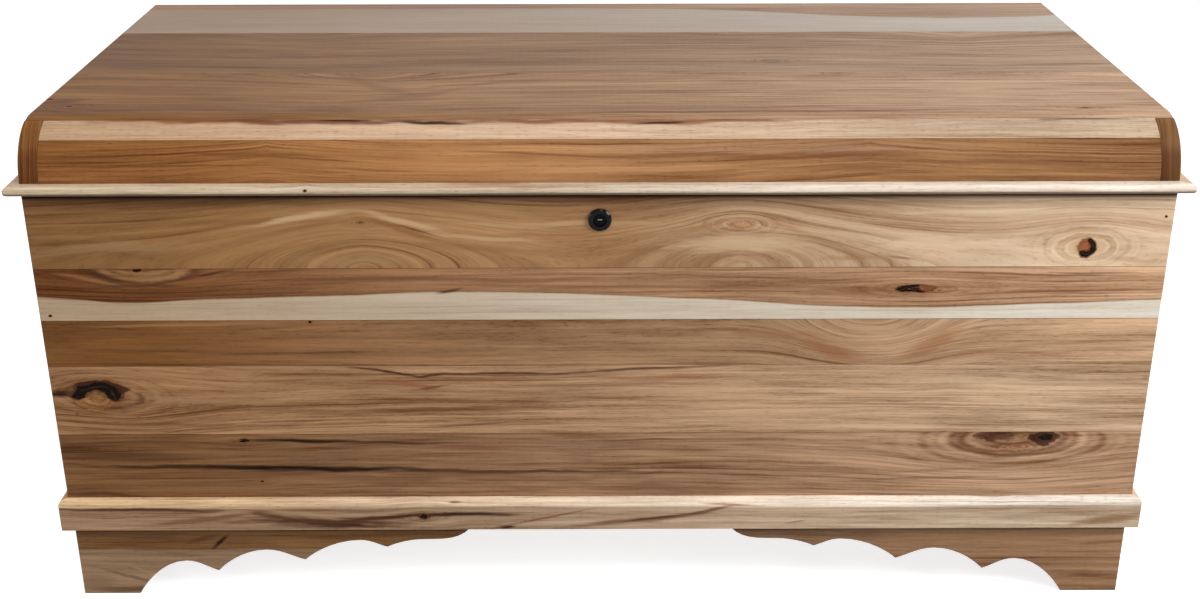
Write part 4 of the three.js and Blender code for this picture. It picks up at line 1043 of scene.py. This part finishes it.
def screwHead(radius, height, depth):
    form = bmesh.new()
    bmesh.ops.create_cone(
        form, cap_ends=True, segments=screw["sides"], radius1=radius, radius2=radius * screw["topShare"],
        depth=height)
    bmesh.ops.translate(form, verts=form.verts, vec=(0, 0, height / 2))
    crown = max(form.faces, key=lambda face: face.calc_center_median().z)
    bmesh.ops.inset_region(
        form, faces=[crown], thickness=radius * screw["domeShare"], depth=height * screw["crownShare"])
    bmesh.ops.inset_region(form, faces=[crown], thickness=radius * screw["flatShare"])
    for corner in crown.verts:
        angle = math.atan2(corner.co.y, corner.co.x)
        offArm = abs((angle + math.pi / 4) % (math.pi / 2) - math.pi / 4)
        share = screw["recessShare"] if offArm < screw["armHalfTurn"] else screw["waistShare"]
        corner.co.x = math.cos(angle) * radius * share
        corner.co.y = math.sin(angle) * radius * share
    moved = bmesh.ops.extrude_face_region(form, geom=[crown])["geom"]
    floorCorners = [item for item in moved if isinstance(item, bmesh.types.BMVert)]
    bmesh.ops.translate(form, verts=floorCorners, vec=(0, 0, -depth))
    bmesh.ops.scale(form, verts=floorCorners, vec=(screw["recessTaper"], screw["recessTaper"], 1))
    bmesh.ops.delete(form, geom=[crown], context="FACES")
    bmesh.ops.recalc_face_normals(form, faces=form.faces)
    mesh = bpy.data.meshes.new("screwHead")
    form.to_mesh(mesh)
    form.free()
    return mesh


def placeScrews(like, head, places, facing, material):
    form = bmesh.new()
    turn = Vector((0, 0, 1)).rotation_difference(Vector(facing)).to_matrix().to_4x4()
    for index, place in enumerate(places):
        before = len(form.verts)
        form.from_mesh(head)
        form.verts.ensure_lookup_table()
        spin = Matrix.Rotation(screw["firstTurn"] + screw["nextTurn"] * index, 4, "Z")
        bmesh.ops.transform(
            form, matrix=Matrix.Translation(place) @ turn @ spin, verts=form.verts[before:])
    finish(form, like + "_screws", like, material, sharp=30)


# Hinges: flush leaves, knuckles and pin, three screws in each leaf

hinges = {
    "screwRadius": 3.4 * mm, "screwHeight": 0.3 * mm, "recess": 0.25 * mm, "screwSpread": 26 * mm,
    "screwStagger": 3.5 * mm, "screwRow": 9.5 * mm,
}

flatHead = screwHead(hinges["screwRadius"], hinges["screwHeight"], hinges["recess"])
screwRow = caseBack - hinges["screwRow"]
leafFaces = {"case_leaf": (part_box("back_board_3")[1].z, 1), "lid_leaf": (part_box("lid_back_rail")[0].z, -1)}
for side in ("left", "right"):
    for part in ("case_leaf", "lid_leaf", "pin"):
        name = f"hinge_{side}_{part}"
        finishMetal(name, "_brass", brass)
        if part == "pin":
            continue
        low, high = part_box(name)
        middle = (low.x + high.x) / 2
        level, facing = leafFaces[part]
        places = []
        for step in (-1, 0, 1):
            stagger = (-1) ** step * hinges["screwStagger"]
            places.append(Vector((middle + step * hinges["screwSpread"], screwRow + stagger, level)))
        placeScrews(name, flatHead, places, (0, 0, facing), brass)
print("hinges done")


# Lid stays: flat steel arms on riveted studs, plates held by two screws. Those of the case plate are
# sunk, as the lower arm passes over one of them.

stays = {
    "screwRadius": 3.2 * mm, "roundHeight": 1.1 * mm, "roundRecess": 0.8 * mm, "sunkHeight": 0.2 * mm,
    "sunkRecess": 0.16 * mm, "edge": 0.3 * mm, "plateSpread": 20 * mm, "plateThick": 2 * mm,
}

plateScrews = {  # the head and the way the row runs
    "case_plate": (screwHead(stays["screwRadius"], stays["sunkHeight"], stays["sunkRecess"]), (0, 0, 1)),
    "lid_plate": (screwHead(stays["screwRadius"], stays["roundHeight"], stays["roundRecess"]), (0, 1, 0)),
}
for side, inward in (("left", 1), ("right", -1)):
    for part in ("case_plate", "lid_plate", "lower_arm", "upper_arm"):
        name = f"{side}_stay_{part}"
        finishMetal(name, "_steel", steel, stays["edge"])
        if part not in plateScrews:
            continue
        low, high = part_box(name)
        centre = (low + high) / 2
        centre.x = (low.x if inward > 0 else high.x) + inward * stays["plateThick"]
        head, row = plateScrews[part]
        places = [centre + Vector(row) * step * stays["plateSpread"] for step in (-1, 1)]
        placeScrews(name, head, places, (inward, 0, 0), steel)
print("stays done")


# Lock: rim and barrel turned on a lathe, plug with its key slot, cam, nut and keeper

lock = {
    "steps": 96, "barrelRadius": 9 * mm, "bore": 6.3 * mm, "rimSunk": 0.3 * mm,
    "lip": [(0.0, 1.44 * mm), (0.27 * mm, 0.36 * mm), (0.9 * mm, 0.0)],  # outside the bore, behind the face
    "rimChamfer": [(1.5 * mm, 0.0), (0.1 * mm, 1.2 * mm), (0.0, 1.6 * mm)],  # inside the rim, behind it
    "slotDeep": 0.7 * mm, "slotLong": 4.6 * mm, "slotWide": 0.9 * mm, "slotThick": 1.0 * mm,
    "slotEdge": 0.15 * mm, "keeperScrew": (2.6 * mm, 0.3 * mm, 0.25 * mm), "keeperSpread": 13 * mm,
    "keeperRow": 6.5 * mm,
}

lockLow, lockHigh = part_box("lock_barrel")
lockZ = (lockLow.z + lockHigh.z) / 2
rimRadius = (lockHigh.x - lockLow.x) / 2
rimBack = caseFront - lock["rimSunk"]
profile = [
    *[(lock["bore"] + widen, lockLow.y + fall) for widen, fall in lock["lip"]],
    *[(rimRadius - inset, lockLow.y + fall) for inset, fall in lock["rimChamfer"]],
    (rimRadius, rimBack), (lock["barrelRadius"], rimBack),
    (lock["barrelRadius"], lockHigh.y), (lock["bore"], lockHigh.y),
]
form = bmesh.new()
corners = [form.verts.new((radius, y, lockZ)) for radius, y in profile]
edges = [form.edges.new(pair) for pair in zip(corners, corners[1:] + corners[:1])]
bmesh.ops.spin(
    form, geom=corners + edges, cent=(0, 0, lockZ), axis=(0, 1, 0), angle=2 * math.pi, steps=lock["steps"],
    use_merge=True)
bmesh.ops.remove_doubles(form, verts=form.verts, dist=slack["turned"])
bmesh.ops.recalc_face_normals(form, faces=form.faces)
finish(form, "lock_barrel_black", "lock_barrel", lockBlack, sharp=28, replaced=["lock_barrel"])

finishMetal("lock_plug", "_black", plugBlack)

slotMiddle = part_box("lock_plug")[0].y + lock["slotDeep"] + lock["slotThick"] / 2
form = bmesh.new()
bmesh.ops.create_cube(form, size=1.0)
bmesh.ops.scale(form, verts=form.verts, vec=(lock["slotLong"], lock["slotThick"], lock["slotWide"]))
bmesh.ops.translate(form, verts=form.verts, vec=(0, slotMiddle, lockZ))
easeEdges(form, lambda edge: True, lock["slotEdge"], 2)
finish(form, "lock_key_shutter", "lock_plug", slotSteel)

for name in ("lock_nut", "lock_cam", "lock_cam_screw", "lock_keeper"):
    finishMetal(name, "_steel", steel, turn=1.0)
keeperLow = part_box("lock_keeper")[0]
screwRow = keeperLow.y + lock["keeperRow"]
places = [Vector((side * lock["keeperSpread"], screwRow, keeperLow.z)) for side in (-1, 1)]
placeScrews("lock_keeper", screwHead(*lock["keeperScrew"]), places, (0, 0, -1), steel)
print("lock done")


# Floor, lights and camera

studio = {
    "floorColour": (206, 205, 203), "floorHalf": 6.0, "floorGlow": 0.8, "worldFill": 0.30, "aim": (0, 0, 0.3),
    "lamps": {  # place, size and power
        "keyLight": ((2.15, -1.25, 1.5), 1.0, 62.0),
        "overLight": ((0.4, -1.6, 2.2), 0.7, 12.0),
        "sideLight": ((-2.6, -0.4, 1.3), 1.6, 28.0),
        "backLight": ((1.0, 2.3, 2.6), 1.6, 24.0),
    },
}

form = bmesh.new()
bmesh.ops.create_grid(form, x_segments=1, y_segments=1, size=studio["floorHalf"])
floorMesh = bpy.data.meshes.new("studioFloor")
form.to_mesh(floorMesh)
form.free()
floor = bpy.data.objects.new("studioFloor", floorMesh)
scene.collection.objects.link(floor)
floorMaterial, floorShader = newMaterial("studioFloor")
floorMesh.materials.append(floorMaterial)
rays = addNode("LightPath")
seen = calc("MAXIMUM", rays["Is Camera Ray"], rays["Is Glossy Ray"])
feed(floorShader, {
    "Base Color": colour(studio["floorColour"]), "Roughness": 0.9, "Specular IOR Level": 0.0,
    "Emission Color": (1, 1, 1, 1), "Emission Strength": seen * studio["floorGlow"],
})

world = scene.world = bpy.data.worlds.new("studioWorld")
world.use_nodes = True
building["tree"] = world.node_tree
rays = addNode("LightPath")
seen = calc("MAXIMUM", rays["Is Camera Ray"], rays["Is Glossy Ray"])
seen = calc("MAXIMUM", seen, rays["Is Transmission Ray"])
feed(world.node_tree.nodes["Background"], {
    "Color": (1, 1, 1, 1), "Strength": remap(seen, 0.0, 1.0, studio["worldFill"], 1.0, smooth=False),
})

for name, (place, size, power) in studio["lamps"].items():
    lamp = bpy.data.lights.new(name, "AREA")
    lamp.shape = "SQUARE"
    lamp.size = size
    lamp.energy = power
    light = bpy.data.objects.new(name, lamp)
    scene.collection.objects.link(light)
    light.location = place
    light.rotation_euler = (Vector(studio["aim"]) - Vector(place)).to_track_quat("-Z", "Y").to_euler()

view = {
    "place": (-3 * mm, -1696.35 * mm, 961 * mm), "pitchDown": 23.27, "yawRight": 0.12, "roll": -0.11,
    "focalPixels": 1570, "imageWide": 1200, "sensor": 36.0,
}
cameraData = bpy.data.cameras.new("photoCamera")
cameraData.sensor_width = view["sensor"]
cameraData.lens = view["focalPixels"] / view["imageWide"] * view["sensor"]
camera = bpy.data.objects.new("photoCamera", cameraData)
scene.collection.objects.link(camera)
camera.location = view["place"]
camera.rotation_euler = (
    Matrix.Rotation(math.radians(-view["yawRight"]), 3, "Z")
    @ Matrix.Rotation(math.radians(90 - view["pitchDown"]), 3, "X")
    @ Matrix.Rotation(math.radians(view["roll"]), 3, "Z")
).to_euler()
scene.camera = camera
scene.view_settings.view_transform = "Standard"
print("floor, lights and camera done")
